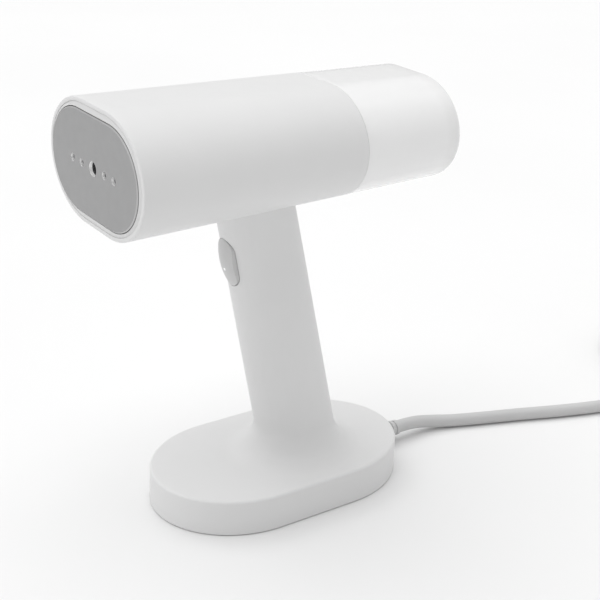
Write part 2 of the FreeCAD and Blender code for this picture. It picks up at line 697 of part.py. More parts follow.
pump_spring_long = size("plunger_front - pump_front - pump_end")
feature("pump_spring", spring_shape(
    size("pump_spring_radius"), size("pump_spring_wire"), pump_spring_long,
    on_axis(0, size("pump_front + pump_end"), -size("pump_drop")), REARWARD))


def hose(label, points):
    """A silicone hose whose bore fits over the nipples at its ends."""
    solid, _, _ = tube_shape(points, size("hose_radius"))
    bore, _, _ = tube_shape(points, size("nipple_radius"))
    return feature(label, solid.cut(bore))


outlet_long = f"pump_front - 2 * hose_gap - ({cover_rear})"
ring("outlet_hose", "hose_radius", "nipple_radius", outlet_long,
     ("0", f"{cover_rear} + hose_gap", pump_axis), REARWARD)
inlet_hose_route = [
    on_axis(0, size("pump_front + pump_long + hose_gap"), -size("pump_drop")),
    on_axis(0, size("pump_front + pump_long + hose_straight"), -size("pump_drop")),
    on_axis(0, size("seam_y - dock_thick - hose_straight"), -size("valve_drop")),
    on_axis(0, size("seam_y - dock_thick - hose_gap"), -size("valve_drop")),
]
hose("inlet_hose", inlet_hose_route)

# ---------------------------------------------------------------- tray and neck

tray = new_body("chassis_tray")
padded(tray, [("-tray_wide", "0"), ("tray_wide", "0"),
              ("tray_wide", f"tray_rear - ({carrier_rear})"),
              ("-tray_wide", f"tray_rear - ({carrier_rear})")], "tray_thick")
tray_holes = [
    (f"{x} * tray_post_x", f"tray_middle + {y} * tray_post_y - ({carrier_rear})", "screw_radius")
    for x in (-1, 1) for y in (-1, 1)
]
tray_holes.append(("0", f"harness_y - ({carrier_rear})", "harness_radius + 1"))
pocket(tray, "tray_thick", circles=tray_holes)
set_at(tray, ("0", f"{carrier_rear}", "axis_z - tray_drop"))

tray_top = size("tray_thick - tray_drop")
screw_set("tray_screws", [
    on_axis(x * size("tray_post_x"), size("tray_middle") + y * size("tray_post_y"),
            tray_top + size("screw_head_high"))
    for x in (-1, 1) for y in (-1, 1)
], UP * -1, long="screw_head_high + tray_thick + 3")

spigot_gap = size("shell_wall + spigot_gap")
spigot = handle_solid(size("spigot_foot"), size("axis_z - tray_drop"), spigot_gap)
spigot_bore = handle_solid(size("spigot_foot - 1"), size("axis_z"), spigot_gap + size("spigot_wall"))
feature("neck_spigot", spigot.cut(spigot_bore))

# ---------------------------------------------------------------- tank dock and tank


def make_tank_dock():
    """The barrel's rear wall, with the socket that the tank's valve plugs into."""
    rear = size("seam_y")
    front = rear - size("dock_thick")
    floor = on_axis(0, rear - size("socket_deep"), -size("valve_drop"))
    nipple = on_axis(0, front - size("nipple_long"), -size("valve_drop"))
    dock = barrel_solid(front, rear, size("barrel_wall + gap"))
    dock = dock.fuse(rod_shape("nipple_radius", "nipple_long", nipple, REARWARD))
    dock = dock.cut(rod_shape("socket_radius", "socket_deep + 1", floor, REARWARD))
    dock = dock.cut(rod_shape("nipple_bore", "nipple_long + dock_thick", nipple, REARWARD))
    blade = Part.makeBox(
        size("2 * pin_radius"), size("pin_long + 1"), size("pin_radius / 2"),
        floor - Vector(size("pin_radius"), 1, size("pin_radius / 4")))
    dock = dock.fuse(blade)
    for side in (-1, 1):
        dock = dock.cut(tongue_box(side, "cap_gap"))
    return dock


def tongue_box(side, room="0"):
    """One of the two tongues that line the tank up, or its slot with room around it."""
    centre = f"{side} * tongue_x"
    return box_shape(
        (f"{centre} - tongue_wide / 2 - {room}", f"seam_y - tongue_long - {room} * 4",
         f"axis_z - tongue_tall / 2 - {room}"),
        (f"{centre} + tongue_wide / 2 + {room}", "seam_y + seam_gap + tank_front_wall / 2",
         f"axis_z + tongue_tall / 2 + {room}"))


feature("tank_dock", make_tank_dock())
ring("dock_seal", "socket_radius", "seal_inner", "seal_thick",
     ("0", "seam_y - socket_deep", "axis_z - valve_drop"), REARWARD)

tank_front_y = size("seam_y + seam_gap")
outer_tank = barrel_solid(tank_front_y, size("rear_y"))
hinge_at = on_axis(-size("boss_wide"), size("hinge_y"), size("hinge_drop"))


def make_tank_shell():
    shell = outer_tank.makeFillet(size("tank_round"), end_edges(outer_tank, size("rear_y")))
    wall = size("tank_wall")
    shell = shell.cut(barrel_solid(tank_front_y - 1, size("rear_y") - wall, wall))
    boss = box_shape(("-boss_wide", "boss_front", "axis_z - oval_tall"),
                     ("boss_wide", "boss_rear", "axis_z + boss_top"))
    shell = shell.fuse(boss.common(outer_tank))
    recess = box_shape(("-recess_wide", "recess_front", "axis_z - oval_tall"),
                       ("recess_wide", "hinge_y + knuckle_room", "axis_z + recess_roof"))
    room = rod_shape("knuckle_room", "2 * recess_wide",
                     hinge_at + SIDEWAYS * size("boss_wide - recess_wide"), SIDEWAYS)
    mouth = rod_shape("fill_radius", "boss_top - recess_roof + 1",
                      on_axis(0, size("fill_y"), size("recess_roof - stopper_root")))
    notch = box_shape(("-notch_wide", "recess_front - notch_deep", "axis_z - oval_tall"),
                      ("notch_wide", "recess_front + 1", "axis_z + recess_roof - notch_deep / 2"))
    pin = rod_shape("hinge_pin", "2 * boss_wide - 2", hinge_at + SIDEWAYS, SIDEWAYS)
    for tool in (recess, room, mouth, notch, pin):
        shell = shell.cut(tool)
    feature("cap_hinge_pin", pin)
    return shell.removeSplitter()


def make_fill_cap():
    """A flush flap with a stopper, hinged at its rear edge."""
    plate = box_shape(
        ("-recess_wide + cap_gap", "recess_front + cap_gap", "axis_z - oval_tall"),
        ("recess_wide - cap_gap", "hinge_y", "axis_z + recess_roof - gap")).common(outer_tank)
    knuckle = rod_shape("knuckle", "2 * (recess_wide - cap_gap)",
                        hinge_at + SIDEWAYS * size("boss_wide - recess_wide + cap_gap"), SIDEWAYS)
    stopper = rod_shape("stopper_radius", "stopper_high + stopper_root",
                        on_axis(0, size("fill_y"), size("recess_roof - stopper_root")))
    hollow = rod_shape("stopper_radius - stopper_wall", "stopper_high + 1",
                       on_axis(0, size("fill_y"), size("recess_roof - gap")))
    bore = rod_shape("hinge_pin + pin_room", "2 * boss_wide", hinge_at, SIDEWAYS)
    return plate.fuse(knuckle).fuse(stopper).cut(hollow).cut(bore).removeSplitter()


def make_tank_front():
    wall = barrel_solid(tank_front_y, tank_front_y + size("tank_front_wall"), size("tank_wall"))
    for side in (-1, 1):
        wall = wall.fuse(tongue_box(side))
    nose = on_axis(0, tank_front_y - 1, -size("valve_drop"))
    return wall.cut(rod_shape("valve_radius", "tank_front_wall + 2", nose, REARWARD))


feature("tank_shell", make_tank_shell())
feature("fill_cap", make_fill_cap())
feature("tank_front", make_tank_front())

valve_axis = "axis_z - valve_drop"
shoulder = "valve_nose + tank_front_wall"
turned("valve_body",
       [("valve_bore", "0"), ("valve_radius", "0"), ("valve_radius", shoulder),
        ("valve_flange", shoulder), ("valve_flange", f"{shoulder} + valve_flange_thick"),
        ("valve_bore", f"{shoulder} + valve_flange_thick")],
       ("0", "seam_y + seam_gap - valve_nose", valve_axis), REARWARD)
turned("valve_plunger",
       [("0", "stem_tip"), ("stem_radius", "stem_tip"), ("stem_radius", "head_front"),
        ("head_radius", "head_front"), ("head_radius", "head_front + head_thick"),
        ("0", "head_front + head_thick")],
       ("0", "0", valve_axis), REARWARD)

cage_front = tank_front_y + size("tank_front_wall + valve_flange_thick")
cage_at = on_axis(0, cage_front, -size("valve_drop"))
cage = rod_shape("cage_outer", "cage_long + cage_end", cage_at, REARWARD)
cage = cage.cut(rod_shape("cage_inner", "cage_long", cage_at, REARWARD))
cage = cage.cut(rod_shape("cage_hole", "cage_long * 2", cage_at, REARWARD))
for wide, tall in ((size("cage_outer + 1"), size("cage_window / 2")),
                   (size("cage_window / 2"), size("cage_outer + 1"))):
    corner = on_axis(-wide, cage_front + 2, -size("valve_drop") - tall)
    cage = cage.cut(Part.makeBox(2 * wide, size("cage_long - 4"), 2 * tall, corner))
feature("valve_cage", cage)

valve_spring_front = size("head_front + head_thick")
valve_spring_long = cage_front + size("cage_long") - valve_spring_front
feature("valve_spring", spring_shape(
    size("valve_spring_radius"), size("spring_wire"), valve_spring_long,
    on_axis(0, valve_spring_front, -size("valve_drop")), REARWARD, turns=4))

# ---------------------------------------------------------------- handle shell and base

feature("handle_shell", make_handle_shell())

base_posts = [
    Vector(x * size("post_x"), y * size("post_y"), size("pad_thick"))
    for x in (-1, 1) for y in (-1, 1)
]
plate_top = size("base_under + cover_plate")
flange_at = Vector(0, size("base_long - relief_flange_thick - shell_wall - relief_step"), size("entry_z"))


def make_base_cover():
    cover_inset = size("shell_wall + gap")
    plate = base_slab(size("base_under"), plate_top, cover_inset)
    plate = plate.cut(base_slab(0, size("pad_thick"), size("pad_inset")))
    for spot in base_posts:
        plate = plate.cut(rod_shape("screw_radius", "screw_long", spot))
        plate = plate.cut(rod_shape("screw_head", "screw_head_high", spot))
    return plate.cut(rod_shape("relief_flange + gap", "20", flange_at - REARWARD, REARWARD))


def make_ballast():
    top = plate_top + size("ballast_high")
    ballast = base_slab(plate_top, top, size("ballast_inset"))
    for spot in base_posts:
        ballast = ballast.cut(rod_shape("post_radius + cap_gap", "base_top", spot))
    behind = box_shape(("-base_wide", "ballast_rear", "0"), ("base_wide", "base_long", "base_top"))
    return ballast.cut(behind)


feature("base_cover", make_base_cover())
feature("base_ballast", make_ballast())
feature("anti_slip_pad", base_slab(0, size("pad_thick"), size("pad_inset")))
screw_set("base_screws", base_posts, UP)

# ---------------------------------------------------------------- button, switch and board


def button_crown():
    """The doughnut whose outside gives the button its crowned face."""
    half = size("button_long / 2")
    proud = size("button_proud")
    long_round = (half**2 + proud**2) / (2 * proud)
    side_round = size("button_side_round")
    centre = in_handle(0, 0, long_round - proud)
    return Part.makeTorus(long_round - side_round, side_round, centre, SIDEWAYS)


def make_button():
    stem = button_prism(size("button_wide"), size("button_long"), -size("button_proud + 1"),
                        size("button_deep"))
    flange = button_prism(size("flange_wide"), size("flange_long"), size("button_deep"),
                          size("button_deep + button_flange"))
    tip = rod_shape("tip_radius", "post_tip - button_deep", in_handle(0, 0, size("button_deep")), INWARD)
    button = stem.common(button_crown()).fuse(flange).fuse(tip)
    return button.cut(lens_rod()).removeSplitter()


def lens_rod():
    start = in_handle(0, -size("lens_drop"), -size("button_proud + 1"))
    return rod_shape("lens_radius", "button_proud + 4", start, INWARD)


feature("steam_button", make_button())
feature("indicator_lens", lens_rod().common(button_crown()))

switch_depth = size("board_front")
switch_case = handle_box(size("switch_wide / 2"), -size("switch_long / 2"), size("switch_long / 2"),
                         size("switch_front"), switch_depth)
plunger_at = in_handle(0, 0, size("switch_tip"))
plunger_long = size("switch_front - switch_tip + pin_sunk")
plunger_hole = Part.makeCylinder(
    size("plunger_pin + pin_room"), plunger_long + size("button_travel + pin_room"), plunger_at, INWARD)
feature("micro_switch", switch_case.cut(plunger_hole))
feature("switch_plunger", Part.makeCylinder(size("plunger_pin"), plunger_long, plunger_at, INWARD))

flange_back = size("button_deep + button_flange")
feature("button_springs", Part.makeCompound([
    spring_shape(size("spring_radius"), size("spring_wire"), switch_depth - flange_back,
                 in_handle(0, side * size("spring_x"), flange_back), INWARD)
    for side in (-1, 1)
]))

board_low = -size("board_drop + board_long / 2")
board_high = size("board_long / 2 - board_drop")
board_back = size("board_front + board_thick")
frame_back = board_back + size("frame_thick")
feature("control_board", handle_box(
    size("board_wide / 2"), board_low, board_high, switch_depth, board_back))
frame = handle_box(size("foot_depth"), board_low - 2, board_high + 1, board_back, frame_back)
feature("board_frame", frame.common(inner_handle))
feature("power_relay", handle_box(
    size("relay_wide / 2"), -size("relay_long") - 5, -5, frame_back, frame_back + size("relay_high")))

# ---------------------------------------------------------------- cord entry in the base

relief_long = size("relief_end") - flange_at.y


def relief_taper(along):
    """The relief's radius without its grooves, at a distance from its flange."""
    share = (along - size("relief_neck")) / (relief_long - size("relief_neck"))
    return size("relief_root") + share * size("relief_tip - relief_root")


relief_line = [("0", "0"), ("relief_flange", "0"), ("relief_flange", "relief_flange_thick"),
               ("relief_root", "relief_flange_thick"), ("relief_root", "relief_neck")]
groove_at = size("relief_neck")
while groove_at + size("groove_pitch") < relief_long:
    ridge = size("groove_pitch - groove_wide")
    for along, depth in ((groove_at, 0), (groove_at + ridge, 0), (groove_at + ridge, size("relief_groove")),
                         (groove_at + size("groove_pitch"), size("relief_groove"))):
        if along > size("relief_neck"):
            relief_line.append((f"{relief_taper(along) - depth}", f"{along}"))
    groove_at += size("groove_pitch")
relief_line += [("relief_tip", f"{groove_at}"), ("relief_tip", f"{relief_long}"), ("0", f"{relief_long}")]
turned("strain_relief", relief_line, ("0", f"{flange_at.y}", "entry_z"), REARWARD)

clamp = new_body("cord_clamp")
padded(clamp, rectangle("clamp_wide / 2", "clamp_high / 2"), "clamp_deep")
pocket(clamp, "clamp_deep", circles=[("0", f"{plate_top} + clamp_high / 2 - entry_z", "cord_radius")])
set_at(clamp, ("0", "clamp_rear - clamp_deep", f"{plate_top} + clamp_high / 2"), Rotation(UP, REARWARD))

box("terminal_block", ("-terminals_wide / 2", "terminals_y", f"{plate_top}"),
    ("terminals_wide / 2", "terminals_y + terminals_deep", f"{plate_top} + terminals_high"), keep=True)
ring("inner_lead", "cord_radius", "0", f"{flange_at.y} - terminals_y - terminals_deep",
     ("0", "terminals_y + terminals_deep", "entry_z"), REARWARD)

harness_route = [
    Vector(0, 45, 12.2), Vector(0, 31, 12.4), Vector(0, 22.5, 30), Vector(0, 19, 60),
    Vector(0, 3, 133.7), Vector(0, -6.5, 165), Vector(0, -7.4, 179),
]
harness, _, _ = tube_shape(harness_route, size("harness_radius"))
feature("wire_harness", harness)

# ---------------------------------------------------------------- mains cord, coil and plug

cord_radius = size("cord_radius")
cord_route = [
    Vector(0, size("relief_end"), size("entry_z")), Vector(0, 92, size("entry_z")),
    Vector(-0.3, 101, 6.7), Vector(1.3, 111.5, 4.9), Vector(5, 122.5, 3.8),
    Vector(11, 138.5, cord_radius), Vector(19.6, 163, cord_radius), Vector(29.5, 188, cord_radius),
    Vector(37.8, 213.5, cord_radius), Vector(44.6, 239, cord_radius), Vector(49.9, 263, cord_radius),
    Vector(54.6, 286.5, cord_radius), Vector(58.9, 309.5, cord_radius),
]
cord, cord_long, cord_radii = tube_shape(cord_route, cord_radius)
feature("power_cord", cord)

# The coil turns anticlockwise from the cord's end, which meets its outermost turn.
outer_turn = size("coil_mean + (coil_turns_wide - 1) * cord_radius")
arriving = (cord_route[-1] - cord_route[-2]).normalize()
coil_centre = cord_route[-1] + UP.cross(arriving) * outer_turn
coil_centre.z = 0
coil_half = size("coil_turns_wide * cord_radius")
coil_high = size("coil_layers * 2 * cord_radius")
coil = Part.makeCylinder(size("coil_mean") + coil_half, coil_high, coil_centre)
feature("cord_coil", coil.cut(Part.makeCylinder(size("coil_mean") - coil_half, coil_high, coil_centre)))

top_layer = coil_high - cord_radius
plug_axis_z = 2 * cord_radius
tail_start = coil_centre + SIDEWAYS * outer_turn + UP * top_layer
tail_route = [
    tail_start, tail_start + Vector(0.5, 12.5, -1.6),
    tail_start + Vector(-0.6, 24, plug_axis_z - top_layer),
    tail_start + Vector(-0.6, 33, plug_axis_z - top_layer),
]
tail, tail_long, tail_radii = tube_shape(tail_route, cord_radius)
feature("cord_tail", tail)

plug_at = tail_route[-1]
stub = doc.addObject("Part::Cylinder", "plug_stub")
stub.setExpression("Radius", bound("relief_root"))
stub.setExpression("Height", bound("plug_stub + plug_overlap"))
set_at(stub, (f"{plug_at.x}", f"{plug_at.y}", f"{plug_at.z}"), Rotation(UP, REARWARD))
grip = new_body("plug_grip", keep=False)
grip_pad = padded(grip, [
    ("plug_stub", "-relief_root"), ("plug_stub + plug_shoulder", "-plug_wide"),
    ("plug_long", "-plug_wide"), ("plug_long", "plug_wide"),
    ("plug_stub + plug_shoulder", "plug_wide"), ("plug_stub", "relief_root"),
], "4 * cord_radius")
set_at(grip, (f"{plug_at.x}", f"{plug_at.y}", "0"), Rotation(SIDEWAYS, REARWARD))
doc.recompute()
rounding = grip.newObject("PartDesign::Fillet", "plug_fillet")
rounding.Base = (grip_pad, [
    f"Edge{n}" for n, e in enumerate(grip_pad.Shape.Edges, start=1) if e.BoundBox.ZLength < 1
])
rounding.setExpression("Radius", bound("plug_round"))
joined("plug_body", [stub, grip])

plug_pins = [
    rod_shape("plug_pin_radius", "plug_pin_long",
              plug_at + Vector(side * size("plug_pin_x"), size("plug_long"), 0), REARWARD)
    for side in (-1, 1)
]
feature("plug_pins", Part.makeCompound(plug_pins))

# ---------------------------------------------------------------- checks and files

doc.recompute()
for item in doc.Objects:
    if "Invalid" in item.State or "Error" in item.State:
        raise RuntimeError(f"{item.Label} failed: {item.State}")
if yoke.Shape.Volume > solid_yoke - 1:
    raise RuntimeError("the yoke has no bore")

labels = [item.Label for item in pieces]
if len(set(labels)) != len(labels):
    raise RuntimeError("two pieces share a label")
for item in pieces:
    shape = item.Shape
    if shape.isNull() or not shape.isValid() or not shape.Solids:
        raise RuntimeError(f"{item.Label} has no valid solid")
    shape.exportStep(f"parts/{item.Label}.step")

coil_turns = size("coil_turns_wide * coil_layers")
coil_long = coil_turns * 2 * math.pi * size("coil_mean")
print("pieces:", len(pieces))
print("cord arc radii:", [round(r, 1) for r in cord_radii + tail_radii])
print("cord length:", round(cord_long + coil_long + tail_long, 1))
print("coil centre:", coil_centre, "plug starts:", plug_at)
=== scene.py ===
import json
import math

import bmesh
import bpy
from mathutils import Matrix, Vector


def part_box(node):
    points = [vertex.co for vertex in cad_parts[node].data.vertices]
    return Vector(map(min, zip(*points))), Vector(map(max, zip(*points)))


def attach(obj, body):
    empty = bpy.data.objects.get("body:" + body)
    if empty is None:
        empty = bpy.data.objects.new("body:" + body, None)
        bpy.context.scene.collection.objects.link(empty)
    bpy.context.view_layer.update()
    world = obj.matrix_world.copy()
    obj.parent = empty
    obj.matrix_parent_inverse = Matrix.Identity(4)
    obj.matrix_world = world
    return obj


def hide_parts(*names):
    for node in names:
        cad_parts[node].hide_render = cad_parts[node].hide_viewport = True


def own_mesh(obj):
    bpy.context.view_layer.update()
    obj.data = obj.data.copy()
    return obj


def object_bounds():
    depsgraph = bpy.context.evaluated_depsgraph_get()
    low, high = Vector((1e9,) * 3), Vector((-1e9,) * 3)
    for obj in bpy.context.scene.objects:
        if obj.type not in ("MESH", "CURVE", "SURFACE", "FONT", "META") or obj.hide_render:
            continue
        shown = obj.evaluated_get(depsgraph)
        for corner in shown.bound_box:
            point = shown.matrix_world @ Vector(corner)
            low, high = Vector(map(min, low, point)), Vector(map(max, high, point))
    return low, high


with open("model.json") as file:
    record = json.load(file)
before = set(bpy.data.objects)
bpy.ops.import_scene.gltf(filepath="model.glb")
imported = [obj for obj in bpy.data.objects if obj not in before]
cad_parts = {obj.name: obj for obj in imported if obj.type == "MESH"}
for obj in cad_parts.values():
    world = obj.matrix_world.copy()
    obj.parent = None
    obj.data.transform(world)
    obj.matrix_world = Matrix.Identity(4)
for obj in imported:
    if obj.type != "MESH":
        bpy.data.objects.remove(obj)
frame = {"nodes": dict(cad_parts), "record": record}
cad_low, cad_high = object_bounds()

MM = 0.001
NODES = frame["nodes"]
TAU = 2 * math.pi
HALVINGS = 40  # steps of each search by halving
SHARP = 32  # degrees between faces from which an edge stays sharp
PLATE_SHARP = 20


def mm(*values):
    """A point given in millimetres, in metres."""
    return Vector(values) * MM


def edges_of(name):
    """A CAD node's lowest and highest corner, in millimetres."""
    low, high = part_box(name)
    return Vector(low) / MM, Vector(high) / MM


# ------------------------------------------------------------------ camera

LENS, SENSOR = 78.0, 36.0  # millimetres
CAMERA_AT = (0.5070, -0.3464, 0.3735)
CAMERA_RIGHT = (0.56442373, 0.82471035, 0.03575868)
CAMERA_UP = (-0.34751834, 0.1980992, 0.91650843)


def make_camera():
    data = bpy.data.cameras.new("camera")
    data.lens = LENS
    data.sensor_width = SENSOR
    data.clip_start, data.clip_end = 0.02, 30.0
    camera = bpy.data.objects.new("camera", data)
    bpy.context.scene.collection.objects.link(camera)
    right, up = Vector(CAMERA_RIGHT), Vector(CAMERA_UP)
    turn = Matrix((right, up, right.cross(up))).transposed()
    camera.matrix_world = Matrix.Translation(CAMERA_AT) @ turn.to_4x4()
    bpy.context.scene.camera = camera


make_camera()

# ------------------------------------------------------------------ materials


class Shader:
    """A node tree with short calls for the nodes that the finishes share."""

    def __init__(self, name):
        self.material = bpy.data.materials.new(name)
        self.material.use_nodes = True
        self.tree = self.material.node_tree
        self.surface = self.tree.nodes["Principled BSDF"]
        self.place = self.tree.nodes.new("ShaderNodeTexCoord").outputs["Object"]

    def link(self, out, into):
        self.tree.links.new(out, into)

    def noise(self, scale, detail=3.0, rough=0.5, stretch=None):
        node = self.tree.nodes.new("ShaderNodeTexNoise")
        node.inputs["Scale"].default_value = scale
        node.inputs["Detail"].default_value = detail
        node.inputs["Roughness"].default_value = rough
        place = self.place
        if stretch:
            mapping = self.tree.nodes.new("ShaderNodeMapping")
            mapping.inputs["Scale"].default_value = stretch
            self.link(place, mapping.inputs["Vector"])
            place = mapping.outputs["Vector"]
        self.link(place, node.inputs["Vector"])
        return node.outputs["Fac"]

    def ramp(self, fac, stops):
        node = self.tree.nodes.new("ShaderNodeValToRGB")
        band = node.color_ramp
        while len(band.elements) < len(stops):
            band.elements.new(0.5)
        for element, (at, colour) in zip(band.elements, stops):
            element.position = at
            element.color = (*colour, 1)
        self.link(fac, node.inputs["Fac"])
        return node.outputs["Color"]

    def remap(self, fac, low, high, start=0.0, end=1.0):
        node = self.tree.nodes.new("ShaderNodeMapRange")
        for name, value in (("From Min", start), ("From Max", end), ("To Min", low), ("To Max", high)):
            node.inputs[name].default_value = value
        self.link(fac, node.inputs["Value"])
        return node.outputs["Result"]

    def mix(self, fac, first, second):
        node = self.tree.nodes.new("ShaderNodeMix")
        node.data_type = "RGBA"
        self.link(fac, node.inputs["Factor"])
        for socket, value in ((node.inputs["A"], first), (node.inputs["B"], second)):
            if isinstance(value, tuple):
                socket.default_value = (*value, 1)
            else:
                self.link(value, socket)
        return node.outputs["Result"]

    def bump(self, height, strength, distance, under=None):
        node = self.tree.nodes.new("ShaderNodeBump")
        node.inputs["Strength"].default_value = strength
        node.inputs["Distance"].default_value = distance
        self.link(height, node.inputs["Height"])
        if under:
            self.link(under, node.inputs["Normal"])
        return node.outputs["Normal"]

    def wear(self):
        """0 on even surfaces, and up to 0.65 along worn outer edges, broken up by noise."""
        geometry = self.tree.nodes.new("ShaderNodeNewGeometry")
        edge = self.remap(geometry.outputs["Pointiness"], 0.0, 1.0, 0.53, 0.62)
        broken = self.tree.nodes.new("ShaderNodeMath")
        broken.operation = "MULTIPLY"
        self.link(edge, broken.inputs[0])
        self.link(self.remap(self.noise(900, 4), 0.2, 1.0, 0.35, 0.65), broken.inputs[1])
        return broken.outputs["Value"]


def shade(colour, amount):
    return tuple(min(1.0, c * amount) for c in colour)


def finish_of(name, colour, rough, spread=0.03, metal=0.0, grain=2600, depth=0.00004, wear=1.08,
              cloud=35, gloss=0.5, stretch=None, strength=0.25):
    """A moulded, cast or plated finish: clouded colour, fine grain, uneven sheen and worn edges."""
    s = Shader(name)
    clouds = s.noise(cloud, 4, stretch=stretch)
    base = s.ramp(clouds, [(0.3, shade(colour, 1 - spread)), (0.7, shade(colour, 1 + spread))])
    base = s.mix(s.wear(), base, shade(colour, wear))
    s.link(base, s.surface.inputs["Base Color"])
    s.surface.inputs["Metallic"].default_value = metal
    s.surface.inputs["Specular IOR Level"].default_value = gloss
    s.link(s.remap(s.noise(cloud * 6, 5), rough - 0.05, rough + 0.05, 0.3, 0.7),
           s.surface.inputs["Roughness"])
    fine = s.noise(grain, 2, 0.6, stretch)
    s.link(s.bump(fine, strength, depth), s.surface.inputs["Normal"])
    return s


def white_plastic():
    """Matt white moulded plastic with a spark-eroded grain."""
    s = finish_of("white_plastic", (0.72, 0.72, 0.72), 0.42, spread=0.008, grain=3200, depth=0.00003,
                  wear=1.03, gloss=0.45, strength=0.2)
    return s.material


# painted shade: between these two places along Y the tank's colour darkens towards its rear
TANK_PAINTED_SHADE = 0.067, 0.076  # metres along Y


def milky_plastic():
    """Glossy milky plastic of the water tank: light spreads in it, and painted shade darkens it towards its
    rear face.
    """
    s = finish_of("milky_plastic", (0.95, 0.95, 0.95), 0.14, spread=0.006, grain=700, depth=0.00002,
                  wear=1.02, gloss=0.5, strength=0.08)
    s.surface.inputs["Subsurface Weight"].default_value = 0.35
    s.surface.inputs["Subsurface Radius"].default_value = (1.0, 1.0, 1.0)
    s.surface.inputs["Subsurface Scale"].default_value = 0.004
    s.surface.inputs["Transmission Weight"].default_value = 0.06
    s.surface.inputs["IOR"].default_value = 1.46
    s.surface.inputs["Coat Weight"].default_value = 0.35
    s.surface.inputs["Coat Roughness"].default_value = 0.06
    along = s.tree.nodes.new("ShaderNodeSeparateXYZ")
    s.link(s.place, along.inputs["Vector"])
    # painted shade: the base colour is mixed towards 0.86 grey at the tank's rear
    rear_painted_shade = s.remap(along.outputs["Y"], 0.0, 1.0, *TANK_PAINTED_SHADE)
    base = s.surface.inputs["Base Color"]
    s.link(s.mix(rear_painted_shade, base.links[0].from_socket, (0.86, 0.86, 0.86)), base)
    return s.material


FINISHES = {
    "white_shell": white_plastic(),
    "tank": milky_plastic(),
    "bezel": finish_of("bezel_plastic", (0.67, 0.67, 0.67), 0.4, 0.012, depth=0.00003).material,
    "steam_plate": finish_of("plate_coating", (0.325, 0.325, 0.327), 0.46, 0.006, metal=0.1, grain=3000,
                             depth=0.000006, wear=1.0, strength=0.05).material,
    # painted highlight: a lighter grey than the plate's coating, laid on the plate's chamfer
    "plate_edge_highlight": finish_of("plate_edge_highlight", (0.50, 0.50, 0.50), 0.36, 0.02, metal=0.4, depth=0.00001).material,
    "bare_alloy": finish_of("bare_alloy", (0.85, 0.85, 0.85), 0.34, 0.02, metal=0.5, depth=0.00001,
                            stretch=(1, 8, 1), wear=1.0).material,
    "button": finish_of("button_plastic", (0.56, 0.56, 0.56), 0.38, 0.012, depth=0.00003).material,
    "silicone": finish_of("silicone", (0.62, 0.62, 0.61), 0.6, 0.03, gloss=0.35).material,
    "cast_alloy": finish_of("cast_alloy", (0.58, 0.58, 0.57), 0.48, 0.10, metal=0.9, grain=1500,
                            depth=0.0001, wear=1.25).material,
    "element_sheath": finish_of("element_sheath", (0.33, 0.31, 0.28), 0.4, 0.2, metal=0.85, cloud=90,
                                wear=1.3).material,
    "plated_steel": finish_of("plated_steel", (0.66, 0.66, 0.65), 0.26, 0.06, metal=1.0, grain=1800,
                              wear=1.15).material,
    "brass_fitting": finish_of("brass_fitting", (0.62, 0.47, 0.22), 0.3, 0.10, metal=1.0,
                               wear=1.25).material,
    "inner_plastic": finish_of("inner_plastic", (0.74, 0.74, 0.71), 0.5, 0.03).material,
    "black_case": finish_of("black_case", (0.035, 0.035, 0.038), 0.45, 0.2, wear=2.2).material,
    "coil_tape": finish_of("coil_tape", (0.62, 0.42, 0.10), 0.4, 0.12, cloud=120).material,
    "spring_steel": finish_of("spring_steel", (0.55, 0.55, 0.54), 0.24, 0.08, metal=1.0,
                              stretch=(1, 1, 6)).material,
    "seal_rubber": finish_of("seal_rubber", (0.05, 0.05, 0.05), 0.62, 0.15, wear=1.8).material,
    "board": finish_of("circuit_board", (0.03, 0.16, 0.06), 0.35, 0.25, cloud=260, wear=2.0).material,
    "ballast_iron": finish_of("ballast_iron", (0.12, 0.12, 0.125), 0.6, 0.3, metal=0.6, cloud=150,
                              grain=900, depth=0.0002, wear=1.9, strength=0.6).material,
    "cord_grey": finish_of("cord_sheath", (0.54, 0.54, 0.54), 0.5, 0.03, grain=1800, depth=0.00005,
                           stretch=(1, 0.35, 1)).material,
    "pin_nickel": finish_of("pin_nickel", (0.72, 0.71, 0.68), 0.2, 0.05, metal=1.0, wear=1.1).material,
}


def indicator():
    s = finish_of("indicator_lens", (0.9, 0.9, 0.9), 0.12, 0.01)
    s.surface.inputs["Emission Color"].default_value = (1.0, 1.0, 1.0, 1)
    s.surface.inputs["Emission Strength"].default_value = 0.25
    return s.material


FINISHES["indicator"] = indicator()

for part in frame["record"]["subparts"]:
    node = NODES[part["node"]]
    node.data.materials.clear()
    node.data.materials.append(FINISHES[part["material_slot"]])

# ------------------------------------------------------------------ cord


def curve_piece(name, points, radius, slot):
    """A round cord on one smooth spline through its own control points."""
    curve = bpy.data.curves.new(name, "CURVE")
    curve.dimensions = "3D"
    spline = curve.splines.new("NURBS")
    spline.points.add(len(points) - 1)
    for point, at in zip(spline.points, points):
        point.co = (*at, 1)
    spline.order_u = 3
    spline.use_endpoint_u = True
    spline.resolution_u = 8
    curve.bevel_depth = radius
    curve.bevel_resolution = 6
    curve.use_fill_caps = True
    curve.materials.append(FINISHES[slot])
    piece = bpy.data.objects.new(name, curve)
    bpy.context.scene.collection.objects.link(piece)
    return piece


